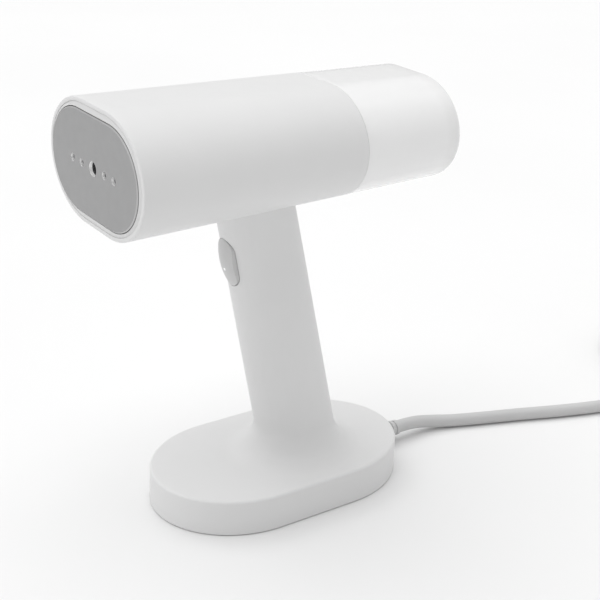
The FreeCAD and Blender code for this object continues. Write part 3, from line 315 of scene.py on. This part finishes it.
CORD_RADIUS = 3.7
ROUTE = [
    (0, 84, 8), (0, 92, 8), (-0.3, 101, 6.7), (1.3, 111.5, 4.9), (5, 122.5, 3.8), (11, 138.5, 3.7),
    (19.6, 163, 3.7), (29.5, 188, 3.7), (37.8, 213.5, 3.7), (44.6, 239, 3.7), (49.9, 263, 3.7),
    (54.6, 286.5, 3.7), (58.9, 309.5, 3.7),
]
TAIL = [(59.707, 318.211, 11.1), (60.207, 330.711, 9.5), (59.107, 342.211, 7.4), (59.107, 351.211, 7.4)]
COIL_CENTRE = Vector((12.307278, 318.210813))
COIL_TURNS = 6
COIL_INNER = 25.2  # radius that the spiral would have at its middle, were it not rounded off
COIL_TURN_OFF = 0.22  # turns over which the spiral stops going in and starts going out
COIL_CLIMB = 0.22  # turns over which the cord climbs from the lower layer to the upper one
COIL_SWELL = 6.5  # how much wider the coil lies on its far left side than opposite
COIL_LEAN = math.radians(45)  # how far that side is turned from straight left
POINTS_A_TURN = 16


def coil_points():
    """Turns that spiral in along the floor, climb, and spiral out again on top of the first ones."""
    entry = math.atan2(ROUTE[-1][1] - COIL_CENTRE.y, ROUTE[-1][0] - COIL_CENTRE.x)
    sweep = COIL_TURNS * TAU - entry
    steps = COIL_TURNS * POINTS_A_TURN
    bulge = 1 / math.cos(math.pi / POINTS_A_TURN)
    points = []
    for step in range(1, steps):
        turn = COIL_TURNS * (step / steps - 0.5)
        angle = entry + sweep * step / steps
        radius = COIL_INNER + 2 * CORD_RADIUS * math.hypot(turn, COIL_TURN_OFF)
        radius = bulge * (radius + COIL_SWELL * (1 - math.cos(angle + COIL_LEAN)) / 2)
        points.append((COIL_CENTRE.x + radius * math.cos(angle), COIL_CENTRE.y + radius * math.sin(angle),
                       CORD_RADIUS * (2 + math.tanh(turn / COIL_CLIMB))))
    return points


cord_line = [mm(*p) for p in ROUTE + coil_points() + TAIL]
power_lead = curve_piece("power_lead", cord_line, CORD_RADIUS * MM, "cord_grey")
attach(power_lead, "housing")
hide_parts("power_cord", "cord_coil", "cord_tail")

# ------------------------------------------------------------------ mesh helpers


def finished(name, bm, slot, body, *stands_for, sharp=SHARP):
    """Makes a piece from a bmesh, smooth but for its real edges, and ties it into the frame."""
    bmesh.ops.recalc_face_normals(bm, faces=bm.faces)
    for face in bm.faces:
        face.smooth = True
    mesh = bpy.data.meshes.new(name)
    bm.to_mesh(mesh)
    bm.free()
    mesh.set_sharp_from_angle(angle=math.radians(sharp))
    mesh.materials.append(FINISHES[slot])
    piece = bpy.data.objects.new(name, mesh)
    bpy.context.scene.collection.objects.link(piece)
    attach(piece, body)
    if stands_for:
        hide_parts(*stands_for)
    return piece


def skin(bm, rings, looped=False, cap_first=False, cap_last=False):
    """Joins rings of equally many points with faces."""
    rows = [[bm.verts.new(Vector(p) * MM) for p in ring] for ring in rings]
    following = rows[1:] + (rows[:1] if looped else [])
    for row, other in zip(rows, following):
        for n in range(len(row)):
            k = (n + 1) % len(row)
            bm.faces.new((row[n], row[k], other[k], other[n]))
    if cap_first:
        bm.faces.new(rows[0][::-1])
    if cap_last:
        bm.faces.new(rows[-1])
    return bm


def new_skin(rings, **how):
    return skin(bmesh.new(), rings, **how)


def carved(piece, tool, operation="DIFFERENCE"):
    """Cuts a closed tool out of a piece, or joins it on, and drops the tool."""
    change = piece.modifiers.new("carve", "BOOLEAN")
    change.operation = operation
    change.solver = "EXACT"
    change.object = tool
    change.material_mode = "TRANSFER"
    graph = bpy.context.evaluated_depsgraph_get()
    mesh = bpy.data.meshes.new_from_object(piece.evaluated_get(graph))
    piece.modifiers.clear()
    piece.data = mesh
    bpy.data.objects.remove(tool)


def tool_from(bm):
    """A closed, unseen solid to carve with."""
    bmesh.ops.recalc_face_normals(bm, faces=bm.faces)
    mesh = bpy.data.meshes.new("tool")
    bm.to_mesh(mesh)
    bm.free()
    tool = bpy.data.objects.new("tool", mesh)
    bpy.context.scene.collection.objects.link(tool)
    return tool


def block_tool(low, high):
    """A block between two corners."""
    ring = [(low[0], low[1]), (high[0], low[1]), (high[0], high[1]), (low[0], high[1])]
    return tool_from(new_skin([[(x, y, z) for x, y in ring] for z in (low[2], high[2])],
                              cap_first=True, cap_last=True))


def rod_tool(start, way, radius, long, sides=64):
    """A round rod from start along way."""
    turn = Vector(way).to_track_quat("Z", "Y")
    rings = [
        [Vector(start) + turn @ Vector((radius * math.cos(TAU * n / sides),
                                        radius * math.sin(TAU * n / sides), z)) for n in range(sides)]
        for z in (0, long)
    ]
    return tool_from(new_skin(rings, cap_first=True, cap_last=True))


def oval(half_wide, half_tall, flat, end_steps=64, flat_steps=12):
    """Points round two level lines joined by elliptical ends, anticlockwise from the lower right."""
    reach = half_wide - flat
    points = []
    for n in range(end_steps):
        angle = math.pi * (n / end_steps - 0.5)
        points.append((flat + reach * math.cos(angle), half_tall * math.sin(angle)))
    for n in range(flat_steps):
        points.append((flat - 2 * flat * n / flat_steps, half_tall))
    return points + [(-x, -y) for x, y in points]


# ------------------------------------------------------------------ barrel and tank

barrel_low, barrel_high = edges_of("barrel_shell")
tank_low, tank_high = edges_of("tank_shell")
bezel_low, bezel_high = edges_of("front_bezel")
FRONT, SEAM, REAR = barrel_low.y, barrel_high.y, tank_high.y
TANK_FRONT = tank_low.y
AXIS_Z = (barrel_low.z + barrel_high.z) / 2
OVAL_WIDE, OVAL_TALL, OVAL_FLAT, REAR_SCALE = 46.8, 29.5, 11.7, 0.89


def barrel_ring(y, inset):
    """The barrel's oval at y, which narrows evenly to the rear."""
    scale = 1 - (1 - REAR_SCALE) * (y - FRONT) / (REAR - FRONT)
    points = oval(OVAL_WIDE * scale - inset, OVAL_TALL * scale - inset, OVAL_FLAT * scale)
    return [(x, y, AXIS_Z + z) for x, z in points]


def stations(start, end, step=4.0):
    """Even places from start to end, about step apart."""
    count = max(1, round(abs(end - start) / step))
    return [start + (end - start) * n / count for n in range(count + 1)]


def quarter(steps, first=0):
    """Angles from 0 to a right angle, without those before the first one asked for."""
    return [math.pi / 2 * n / steps for n in range(first, steps + 1)]


def rounded_lip(y, way, inner, outer, radius):
    """(y, inset) round an edge from its outside to its inside; way is +1 where the wall lies beyond y."""
    profile = []
    for angle in quarter(6):
        profile.append((y + way * radius * (1 - math.sin(angle)), outer + radius * (1 - math.cos(angle))))
    small = min(INNER_ROUND, radius)
    for angle in quarter(4):
        profile.append((y + way * small * (1 - math.cos(angle)), inner - small * (1 - math.sin(angle))))
    return profile


BARREL_WALL, TANK_WALL = 2.2, 1.8
FRONT_ROUND, SEAM_ROUND, INNER_ROUND = 0.8, 0.15, 0.3
SEAM_CLOSE = 0.1  # how far barrel and tank each reach past their CAD edges into the seam


def make_barrel():
    """The barrel's shell of even wall, from its front rim to the seam."""
    front = rounded_lip(FRONT, 1, BARREL_WALL, 0, FRONT_ROUND)
    rear = rounded_lip(SEAM + SEAM_CLOSE, -1, BARREL_WALL, 0, SEAM_ROUND)
    inside = [(y, BARREL_WALL) for y in stations(front[-1][0], rear[-1][0])[1:-1]]
    outside = [(y, 0) for y in stations(rear[0][0], front[0][0])[1:-1]]
    profile = front + inside + rear[::-1] + outside
    rings = [barrel_ring(y, inset) for y, inset in profile]
    finished("barrel", new_skin(rings, looped=True), "white_shell", "housing", "barrel_shell")


PLATE_LOW, PLATE_HIGH = edges_of("steam_plate")
PLATE_FLAT, PLATE_CLEAR, PLATE_CHAMFER = 15.5, 0.3, 0.5
BEZEL_CLEAR, BEZEL_ROUND = 0.04, 0.2
BEZEL_MOUTH = 0.55  # how far the bezel's mouth lies behind the plate's face
BEZEL_LEDGE, LEDGE_REACH = 2.4, 3.0  # the inner ledge's thickness, and how far it goes in behind the plate
STEAM_HOLES = (-20.4, -11.2, 0, 11.2, 20.4)
MIDDLE_HOLE, SMALL_HOLE = (3.0, 0.4), (1.5, 0.3)  # radius, and how much wider at the plate's face
HOLE_CONE = 1.3  # how deep the bright countersink goes


def plate_ring(y, inset):
    """The steam plate's outline at y, smaller all round by inset."""
    outline = oval(PLATE_HIGH.x - inset, PLATE_HIGH.z - AXIS_Z - inset, PLATE_FLAT)
    return [(x, y, AXIS_Z + z) for x, z in outline]


def make_bezel():
    """The pale band round the steam plate, which rises from the barrel's rim to the plate."""
    outer = BARREL_WALL + BEZEL_CLEAR
    edge, mouth = bezel_low.y, PLATE_LOW.y + BEZEL_MOUTH
    rim = []
    for angle in quarter(4):
        rim.append((edge + BEZEL_ROUND * (1 - math.sin(angle)), outer + BEZEL_ROUND * (1 - math.cos(angle))))
    rings = [barrel_ring(y, inset) for y, inset in [(bezel_high.y, outer), (edge + 4, outer)] + rim]
    ledge = bezel_high.y - BEZEL_LEDGE
    rings += [plate_ring(mouth, -PLATE_CLEAR - 0.3), plate_ring(mouth + 0.1, -PLATE_CLEAR - 0.08)]
    rings += [plate_ring(y, -PLATE_CLEAR) for y in stations(mouth + 0.35, ledge, 1.5)]
    rings += [plate_ring(y, LEDGE_REACH) for y in (ledge, bezel_high.y)]
    finished("bezel", new_skin(rings, looped=True), "bezel", "housing", "front_bezel", sharp=40)


def make_plate():
    """The coated steam plate, with a painted highlight on its chamfer, bare countersinks in its five steam
    holes, and painted shade in their bores.
    """
    front, rear = PLATE_LOW.y, PLATE_HIGH.y
    shape = [(rear, 1.0), (rear, 0), (front + PLATE_CHAMFER + 0.6, 0), (front + PLATE_CHAMFER, 0),
             (front, PLATE_CHAMFER), (front, PLATE_CHAMFER + 0.5), (front, PLATE_CHAMFER + 3)]
    rings = [plate_ring(y, inset) for y, inset in shape]
    plate = finished("plate_face", new_skin(rings, cap_first=True, cap_last=True), "steam_plate",
                     "housing", "steam_plate", sharp=PLATE_SHARP)
    plate.data.materials.append(FINISHES["plate_edge_highlight"])
    for face in plate.data.polygons:
        # the chamfer faces get the painted highlight
        if 0.2 < -face.normal.y < 0.9:  # the chamfer, neither the flat face nor the side
            face.material_index = 1
    for x in STEAM_HOLES:
        radius, flare = SMALL_HOLE if x else MIDDLE_HOLE
        carved(plate, hole_tool(x, front, radius + flare, radius, rear - front + 1))
    plate.data.set_sharp_from_angle(angle=math.radians(PLATE_SHARP))


def hole_tool(x, front, wide, narrow, long, sides=48):
    """A steam hole's tool along +Y: a countersink of bare metal, and beyond it a bore with painted shade in
    the dark ballast iron finish.
    """
    rings = []
    for y, radius in ((-0.2, wide + 0.2), (HOLE_CONE, narrow), (long, narrow)):
        rings.append([(x + radius * math.cos(TAU * n / sides), front + y,
                       AXIS_Z + radius * math.sin(TAU * n / sides)) for n in range(sides)])
    tool = tool_from(new_skin(rings, cap_first=True, cap_last=True))
    tool.data.materials.append(FINISHES["bare_alloy"])
    # painted shade: the bore past the countersink takes the dark ballast iron finish
    tool.data.materials.append(FINISHES["ballast_iron"])
    deep = (front + HOLE_CONE + 0.1) * MM
    for face in tool.data.polygons:
        if face.center.y > deep:
            face.material_index = 1
    return tool


make_barrel()
make_bezel()
make_plate()


TANK_ROUND = 2.5
FACE_INSET = 12.0  # where the rear face's innermost ring lies
UNDERSIDE = 32  # further below the axis than the tank reaches
BOSS_WIDE, BOSS_FRONT, BOSS_REAR, BOSS_FLOOR, BOSS_TOP = 15, 34, 64, 26.2, 20.4
RECESS_WIDE, RECESS_FRONT, RECESS_REAR, RECESS_ROOF = 12.4, 36, 61, 24.2
HINGE_Y, HINGE_DROP, HINGE_ROOM = 58.5, 24.5, 2.5
MOUTH_Y, MOUTH_RADIUS, MOUTH_LONG = 46, 7.2, 4.8
NOTCH_WIDE, NOTCH_FRONT, NOTCH_REAR = 5, 34.4, 37  # a fingernail's notch at the cap's free edge


def make_tank():
    """A deep cup of even wall, with the filling mouth and the cap's recess in its underside."""
    lip = rounded_lip(TANK_FRONT - SEAM_CLOSE, 1, TANK_WALL, 0, SEAM_ROUND)
    outside = [(y, 0) for y in stations(lip[0][0], REAR - TANK_ROUND)]
    for angle in quarter(9, first=1):
        outside.append((REAR - TANK_ROUND * (1 - math.sin(angle)), TANK_ROUND * (1 - math.cos(angle))))
    outside += [(REAR, 3.4), (REAR, FACE_INSET)]
    inner_rear = REAR - TANK_WALL
    inside = [(inner_rear, FACE_INSET), (inner_rear, TANK_WALL + 1.2), (inner_rear - 0.25, TANK_WALL + 0.4),
              (inner_rear - 1.0, TANK_WALL)]
    inside += [(y, TANK_WALL) for y in stations(inner_rear - 2.0, lip[-1][0])[:-1]]
    profile = inside + lip[::-1] + outside[1:]
    rings = [barrel_ring(y, inset) for y, inset in profile]
    tank = finished("water_tank", new_skin(rings, cap_first=True, cap_last=True), "tank", "tank",
                    "tank_shell")
    boss_low = (-BOSS_WIDE, BOSS_FRONT, AXIS_Z - BOSS_FLOOR)
    boss_high = (BOSS_WIDE, BOSS_REAR, AXIS_Z - BOSS_TOP)
    carved(tank, block_tool(boss_low, boss_high), "UNION")
    roof, below = AXIS_Z - RECESS_ROOF, AXIS_Z - UNDERSIDE
    carved(tank, block_tool((-RECESS_WIDE, RECESS_FRONT, below), (RECESS_WIDE, RECESS_REAR, roof)))
    hinge = (-RECESS_WIDE, HINGE_Y, AXIS_Z - HINGE_DROP)
    carved(tank, rod_tool(hinge, (1, 0, 0), HINGE_ROOM, 2 * RECESS_WIDE))
    carved(tank, rod_tool((0, MOUTH_Y, roof - 0.5), (0, 0, 1), MOUTH_RADIUS, MOUTH_LONG))
    carved(tank, block_tool((-NOTCH_WIDE, NOTCH_FRONT, below), (NOTCH_WIDE, NOTCH_REAR, roof - 0.8)))
    tank.data.set_sharp_from_angle(angle=math.radians(SHARP))


make_tank()

# ------------------------------------------------------------------ handle and base

FOOT_Y, HEAD_Y, FOOT_DEPTH, HEAD_DEPTH, SLIM = 14.5, -24.2, 22.9, 20.7, 0.8
BASE_TOP, BASE_UNDER = 19.9, 0.6
BASE_LONG, BASE_WIDE, BASE_FLAT, BASE_ROUND = 72.1, 42.3, 23.1, 1.5
FLARE, SHELL_WALL = 16.0, 2.4
HEAD_SINK = 0.6  # how far the handle goes into the barrel's wall
INNER_RIM = 0.3
TOP_MARGIN, FOOT_MARGIN = 0.6, 0.012  # flat strips by the rim (mm) and the flare (share of its foot's size)
HANDLE_LEVELS = 44
RIM_WALK = 4000  # points on the base's rim that its distance is measured by
RELIEF_Z, RELIEF_RADIUS = 8.0, 5.35  # the hole for the strain relief
BUTTON_Z, BUTTON_WIDE, BUTTON_LONG, BUTTON_GAP = 133.7, 6.5, 13, 0.3  # wide and long are halves
BUTTON_CUT = (-6.0, 9.0)  # depths between which the button's hole is cut
AROUND = 192


def handle_at(angle, z, inset=0.0):
    """A point on the leaning handle, angle 0 to the rear, and the way its surface faces."""

    def point(level):
        along = (level - BASE_TOP) / (AXIS_Z - BASE_TOP)
        middle = FOOT_Y + along * (HEAD_Y - FOOT_Y)
        depth = FOOT_DEPTH + along * (HEAD_DEPTH - FOOT_DEPTH)
        slim = depth * SLIM - inset
        return Vector((-slim * math.sin(angle), middle + (depth - inset) * math.cos(angle), level))

    at = point(z)
    rise = point(z + 0.5) - point(z - 0.5)
    along = (FOOT_DEPTH - inset) * Vector((-SLIM * math.cos(angle), -math.sin(angle), 0))
    out = along.cross(rise).normalized()
    if out.dot(at - Vector((0, at.y - (FOOT_DEPTH * math.cos(angle)), at.z))) < 0:
        out = -out
    return at, out


def flare_line(angle, floor, radius, inset, steps=14):
    """The rolled line from the base's top, floor high, up to the handle."""
    low, high = floor, floor + 3 * radius
    for _ in range(HALVINGS):
        z = (low + high) / 2
        at, out = handle_at(angle, z, inset)
        if (at + out * radius).z < floor + radius:
            low = z
        else:
            high = z
    centre = at + out * radius
    down, back = Vector((0, 0, -1)), -out
    spread = down.angle(back)
    line = []
    for n in range(steps + 1):
        share = n / steps
        way = (down * math.sin((1 - share) * spread) + back * math.sin(share * spread)) / math.sin(spread)
        line.append(centre + way * radius)
    return line, z


def under_barrel(angle, inset, sink):
    """How high the handle goes before it is sink millimetres inside the barrel."""
    low, high = 120.0, AXIS_Z
    for _ in range(HALVINGS):
        z = (low + high) / 2
        at, _out = handle_at(angle, z, inset)
        scale = 1 - (1 - REAR_SCALE) * (at.y - FRONT) / (REAR - FRONT)
        flat = OVAL_FLAT * scale
        wide, tall = OVAL_WIDE * scale - sink, OVAL_TALL * scale - sink
        across = max(0.0, abs(at.x) - flat) / (wide - flat)
        if AXIS_Z - z > tall * math.sqrt(max(0.0, 1 - across * across)):
            low = z
        else:
            high = z
    return z


def base_ring(z, inset, angles):
    """The base's oval, with a point on the ray at each angle."""
    return [base_point(angle, inset, z) for angle in angles]


def base_point(angle, inset, z):
    """Where a ray from the base's middle at this angle leaves its oval; the oval is long along Y."""
    wide, deep = BASE_LONG - inset, BASE_WIDE - inset
    way = Vector((-math.sin(angle), math.cos(angle)))
    low, high = 0.0, wide + deep
    for _ in range(HALVINGS):
        reach = (low + high) / 2
        beyond = max(0.0, abs(way.y * reach) - BASE_FLAT) / (wide - BASE_FLAT)
        if (way.x * reach / deep) ** 2 + beyond**2 < 1:
            low = reach
        else:
            high = reach
    return (way.x * reach, way.y * reach, z)


def base_angles():
    """Ray angles spaced evenly by distance round the base's rim."""
    walk = [base_point(TAU * n / RIM_WALK, 0, 0) for n in range(RIM_WALK + 1)]
    travelled = [0.0]
    for a, b in zip(walk, walk[1:]):
        travelled.append(travelled[-1] + math.dist(a, b))
    angles, k = [], 0
    for n in range(AROUND):
        goal = travelled[-1] * n / AROUND
        while travelled[k + 1] < goal:
            k += 1
        part = (goal - travelled[k]) / (travelled[k + 1] - travelled[k])
        angles.append(TAU * (k + part) / RIM_WALK)
    return angles


def pedestal_rings(inset, rim):
    """Rings from the base's lower edge over its rim and the flare, up to the barrel."""
    base_top, flare = BASE_TOP - inset, FLARE - inset
    rays = base_angles()
    turns = [TAU * n / AROUND for n in range(AROUND)]
    rings = [base_ring(z, inset, rays) for z in stations(BASE_UNDER, base_top - rim, 3.0)]
    for angle in quarter(8, first=1):
        rings.append(base_ring(base_top - rim * (1 - math.sin(angle)), inset + rim * (1 - math.cos(angle)),
                               rays))
    lines = [flare_line(turn, base_top, flare, inset) for turn in turns]
    outer = base_ring(base_top, inset + rim + TOP_MARGIN, rays)
    rings.append(outer)
    foot = [line[0] for line, _ in lines]
    near = [Vector(p).lerp(Vector((0, FOOT_Y, base_top)), -FOOT_MARGIN) for p in foot]
    for share in (0.35, 0.7):
        rings.append([Vector(a).lerp(b, share) for a, b in zip(outer, near)])
    rings.append(near)
    for n in range(len(lines[0][0])):
        rings.append([line[n] for line, _ in lines])
    tops = [under_barrel(turn, inset, HEAD_SINK) for turn in turns]
    for n in range(1, HANDLE_LEVELS + 1):
        ring = []
        for turn, (_, start), top in zip(turns, lines, tops):
            ring.append(handle_at(turn, start + (top - start) * n / HANDLE_LEVELS, inset)[0])
        rings.append(ring)
    return rings


def make_stand():
    """Base and handle, moulded in one, as a shell of even wall."""
    outside = pedestal_rings(0, BASE_ROUND)
    inside = pedestal_rings(SHELL_WALL, INNER_RIM)
    stand = finished("stand", new_skin(outside + inside[::-1], looped=True), "white_shell", "housing",
                     "handle_shell")
    carved(stand, pill_tool(BUTTON_WIDE + BUTTON_GAP, BUTTON_LONG + BUTTON_GAP, *BUTTON_CUT))
    carved(stand, rod_tool((0, BASE_LONG - 10, RELIEF_Z), (0, 1, 0), RELIEF_RADIUS, 20))
    stand.data.set_sharp_from_angle(angle=math.radians(SHARP))


# ------------------------------------------------------------------ button


def button_frame():
    """The button's seat on the handle's front line, the way up it and the way in."""
    foot = Vector((0, FOOT_Y - FOOT_DEPTH, BASE_TOP))
    head = Vector((0, HEAD_Y - HEAD_DEPTH, AXIS_Z))
    rise = (head - foot).normalized()
    seat = foot + (head - foot) * ((BUTTON_Z - BASE_TOP) / (AXIS_Z - BASE_TOP))
    inward = Vector((0, rise.z, -rise.y))
    return seat, rise, inward


def pill(half_wide, half_long, steps=24):
    """Points round a bar with round ends, long in the second direction."""
    run = half_long - half_wide
    points = []
    for n in range(steps + 1):
        angle = math.pi * n / steps
        points.append((half_wide * math.cos(angle), run + half_wide * math.sin(angle)))
    points += [(-half_wide, run - 2 * run * n / 8) for n in range(1, 8)]
    for n in range(steps + 1):
        angle = math.pi + math.pi * n / steps
        points.append((half_wide * math.cos(angle), -run + half_wide * math.sin(angle)))
    return points + [(half_wide, -run + 2 * run * n / 8) for n in range(1, 8)]


def at_button(across, along, depth):
    """A point measured from the button's seat."""
    seat, rise, inward = button_frame()
    return seat + Vector((across, 0, 0)) + rise * along + inward * depth


def pill_tool(half_wide, half_long, top, bottom):
    rings = [[at_button(x, y, depth) for x, y in pill(half_wide, half_long)] for depth in (top, bottom)]
    return tool_from(new_skin(rings, cap_first=True, cap_last=True))


make_stand()

# ------------------------------------------------------------------ springs

SPRING_TURNS = 6
FLANGE_BACK, BOARD_FRONT = 7.5, 16.6  # depths behind the button's seat, between which its springs stand
RETURN_OFFSET, RETURN_RADIUS, RETURN_WIRE, PRESS_TRAVEL = 11.0, 2.1, 0.5, 1.5
STROKE_RADIUS, STROKE_WIRE, STROKE_TRAVEL = 3.2, 0.6, 2.0


def helix(start, way, radius, wire, long, turns, around=8, steps_a_turn=24):
    """Rings of points along a spring of round wire, which fills the given length along way."""
    turn_to = Vector(way).to_track_quat("Z", "Y")
    rise = long - wire
    climb = math.atan2(rise, turns * TAU * radius)
    rings = []
    for step in range(turns * steps_a_turn + 1):
        share = step / (turns * steps_a_turn)
        angle = turns * TAU * share
        out = Vector((math.cos(angle), math.sin(angle), 0))
        across = Vector((math.sin(angle) * math.sin(climb), -math.cos(angle) * math.sin(climb),
                         math.cos(climb)))
        middle = out * radius + Vector((0, 0, wire / 2 + rise * share))
        ring = []
        for n in range(around):
            side = TAU * n / around
            ring.append(middle + (out * math.cos(side) + across * math.sin(side)) * wire / 2)
        rings.append([Vector(start) + turn_to @ point for point in ring])
    return rings


def pressed_spring(name, node, starts, way, radius, wire, long):
    """Springs of one node, which a joint presses, built here at rest as helices of round wire in a mesh of
    their own.
    """
    bm = bmesh.new()
    for start in starts:
        skin(bm, helix(start, way, radius, wire, long, SPRING_TURNS), cap_first=True, cap_last=True)
    spring = finished(name, bm, "spring_steel", "housing", node, sharp=60)
    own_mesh(spring)


def make_springs():
    """The button's two return springs, and the spring that the pump's plunger works against."""
    starts = [at_button(0, side * RETURN_OFFSET, FLANGE_BACK) for side in (-1, 1)]
    inward = button_frame()[2]
    pressed_spring("return_springs", "button_springs", starts, inward,
                   RETURN_RADIUS, RETURN_WIRE, BOARD_FRONT - FLANGE_BACK)
    low, high = edges_of("pump_spring")
    start = Vector((0, high.y, (low.z + high.z) / 2))
    pressed_spring("stroke_spring", "pump_spring", [start], (0, -1, 0),
                   STROKE_RADIUS, STROKE_WIRE, high.y - low.y)


make_springs()

# ------------------------------------------------------------------ floor and light


FLOOR_REACH = 6.0  # metres
SKY = 0.49


def make_floor():
    """A plain pale floor at the height that the object stands on."""
    bm = bmesh.new()
    sides = ((-1, -1), (1, -1), (1, 1), (-1, 1))
    corners = [bm.verts.new((x * FLOOR_REACH, y * FLOOR_REACH, 0)) for x, y in sides]
    bm.faces.new(corners)
    mesh = bpy.data.meshes.new("floor")
    bm.to_mesh(mesh)
    bm.free()
    floor = bpy.data.objects.new("floor", mesh)
    floor.location.z = min(0.0, cad_low.z)
    bpy.context.scene.collection.objects.link(floor)
    s = Shader("floor_paint")
    s.link(s.ramp(s.noise(3.0), [(0.3, (0.80, 0.80, 0.80)), (0.7, (0.815, 0.815, 0.815))]),
           s.surface.inputs["Base Color"])
    s.surface.inputs["Roughness"].default_value = 0.9
    s.surface.inputs["Specular IOR Level"].default_value = 0.1
    mesh.materials.append(s.material)


def make_light():
    world = bpy.data.worlds.new("studio")
    world.use_nodes = True
    sky = world.node_tree.nodes["Background"]
    sky.inputs["Color"].default_value = (1, 1, 1, 1)
    sky.inputs["Strength"].default_value = SKY
    bpy.context.scene.world = world
    add_lamp("overhead", (-0.22, -0.12, 1.0), energy=2.12, spread=75, mirrored=False)
    add_lamp("left_panel", (-0.2, -1.0, 0.3), energy=0.42, spread=60)
    add_lamp("rear_panel", (0.4, 1.0, 0.45), energy=0.38, spread=80)


def add_lamp(name, toward, energy, spread, mirrored=True):
    """A large soft source far off in one direction, which glossy surfaces show if mirrored."""
    data = bpy.data.lights.new(name, "SUN")
    data.energy = energy
    data.angle = math.radians(spread)
    lamp = bpy.data.objects.new(name, data)
    lamp.rotation_mode = "QUATERNION"
    lamp.rotation_quaternion = Vector(toward).to_track_quat("Z", "Y")
    lamp.visible_glossy = mirrored
    bpy.context.scene.collection.objects.link(lamp)


make_floor()
make_light()
bpy.context.scene.view_settings.view_transform = "Standard"
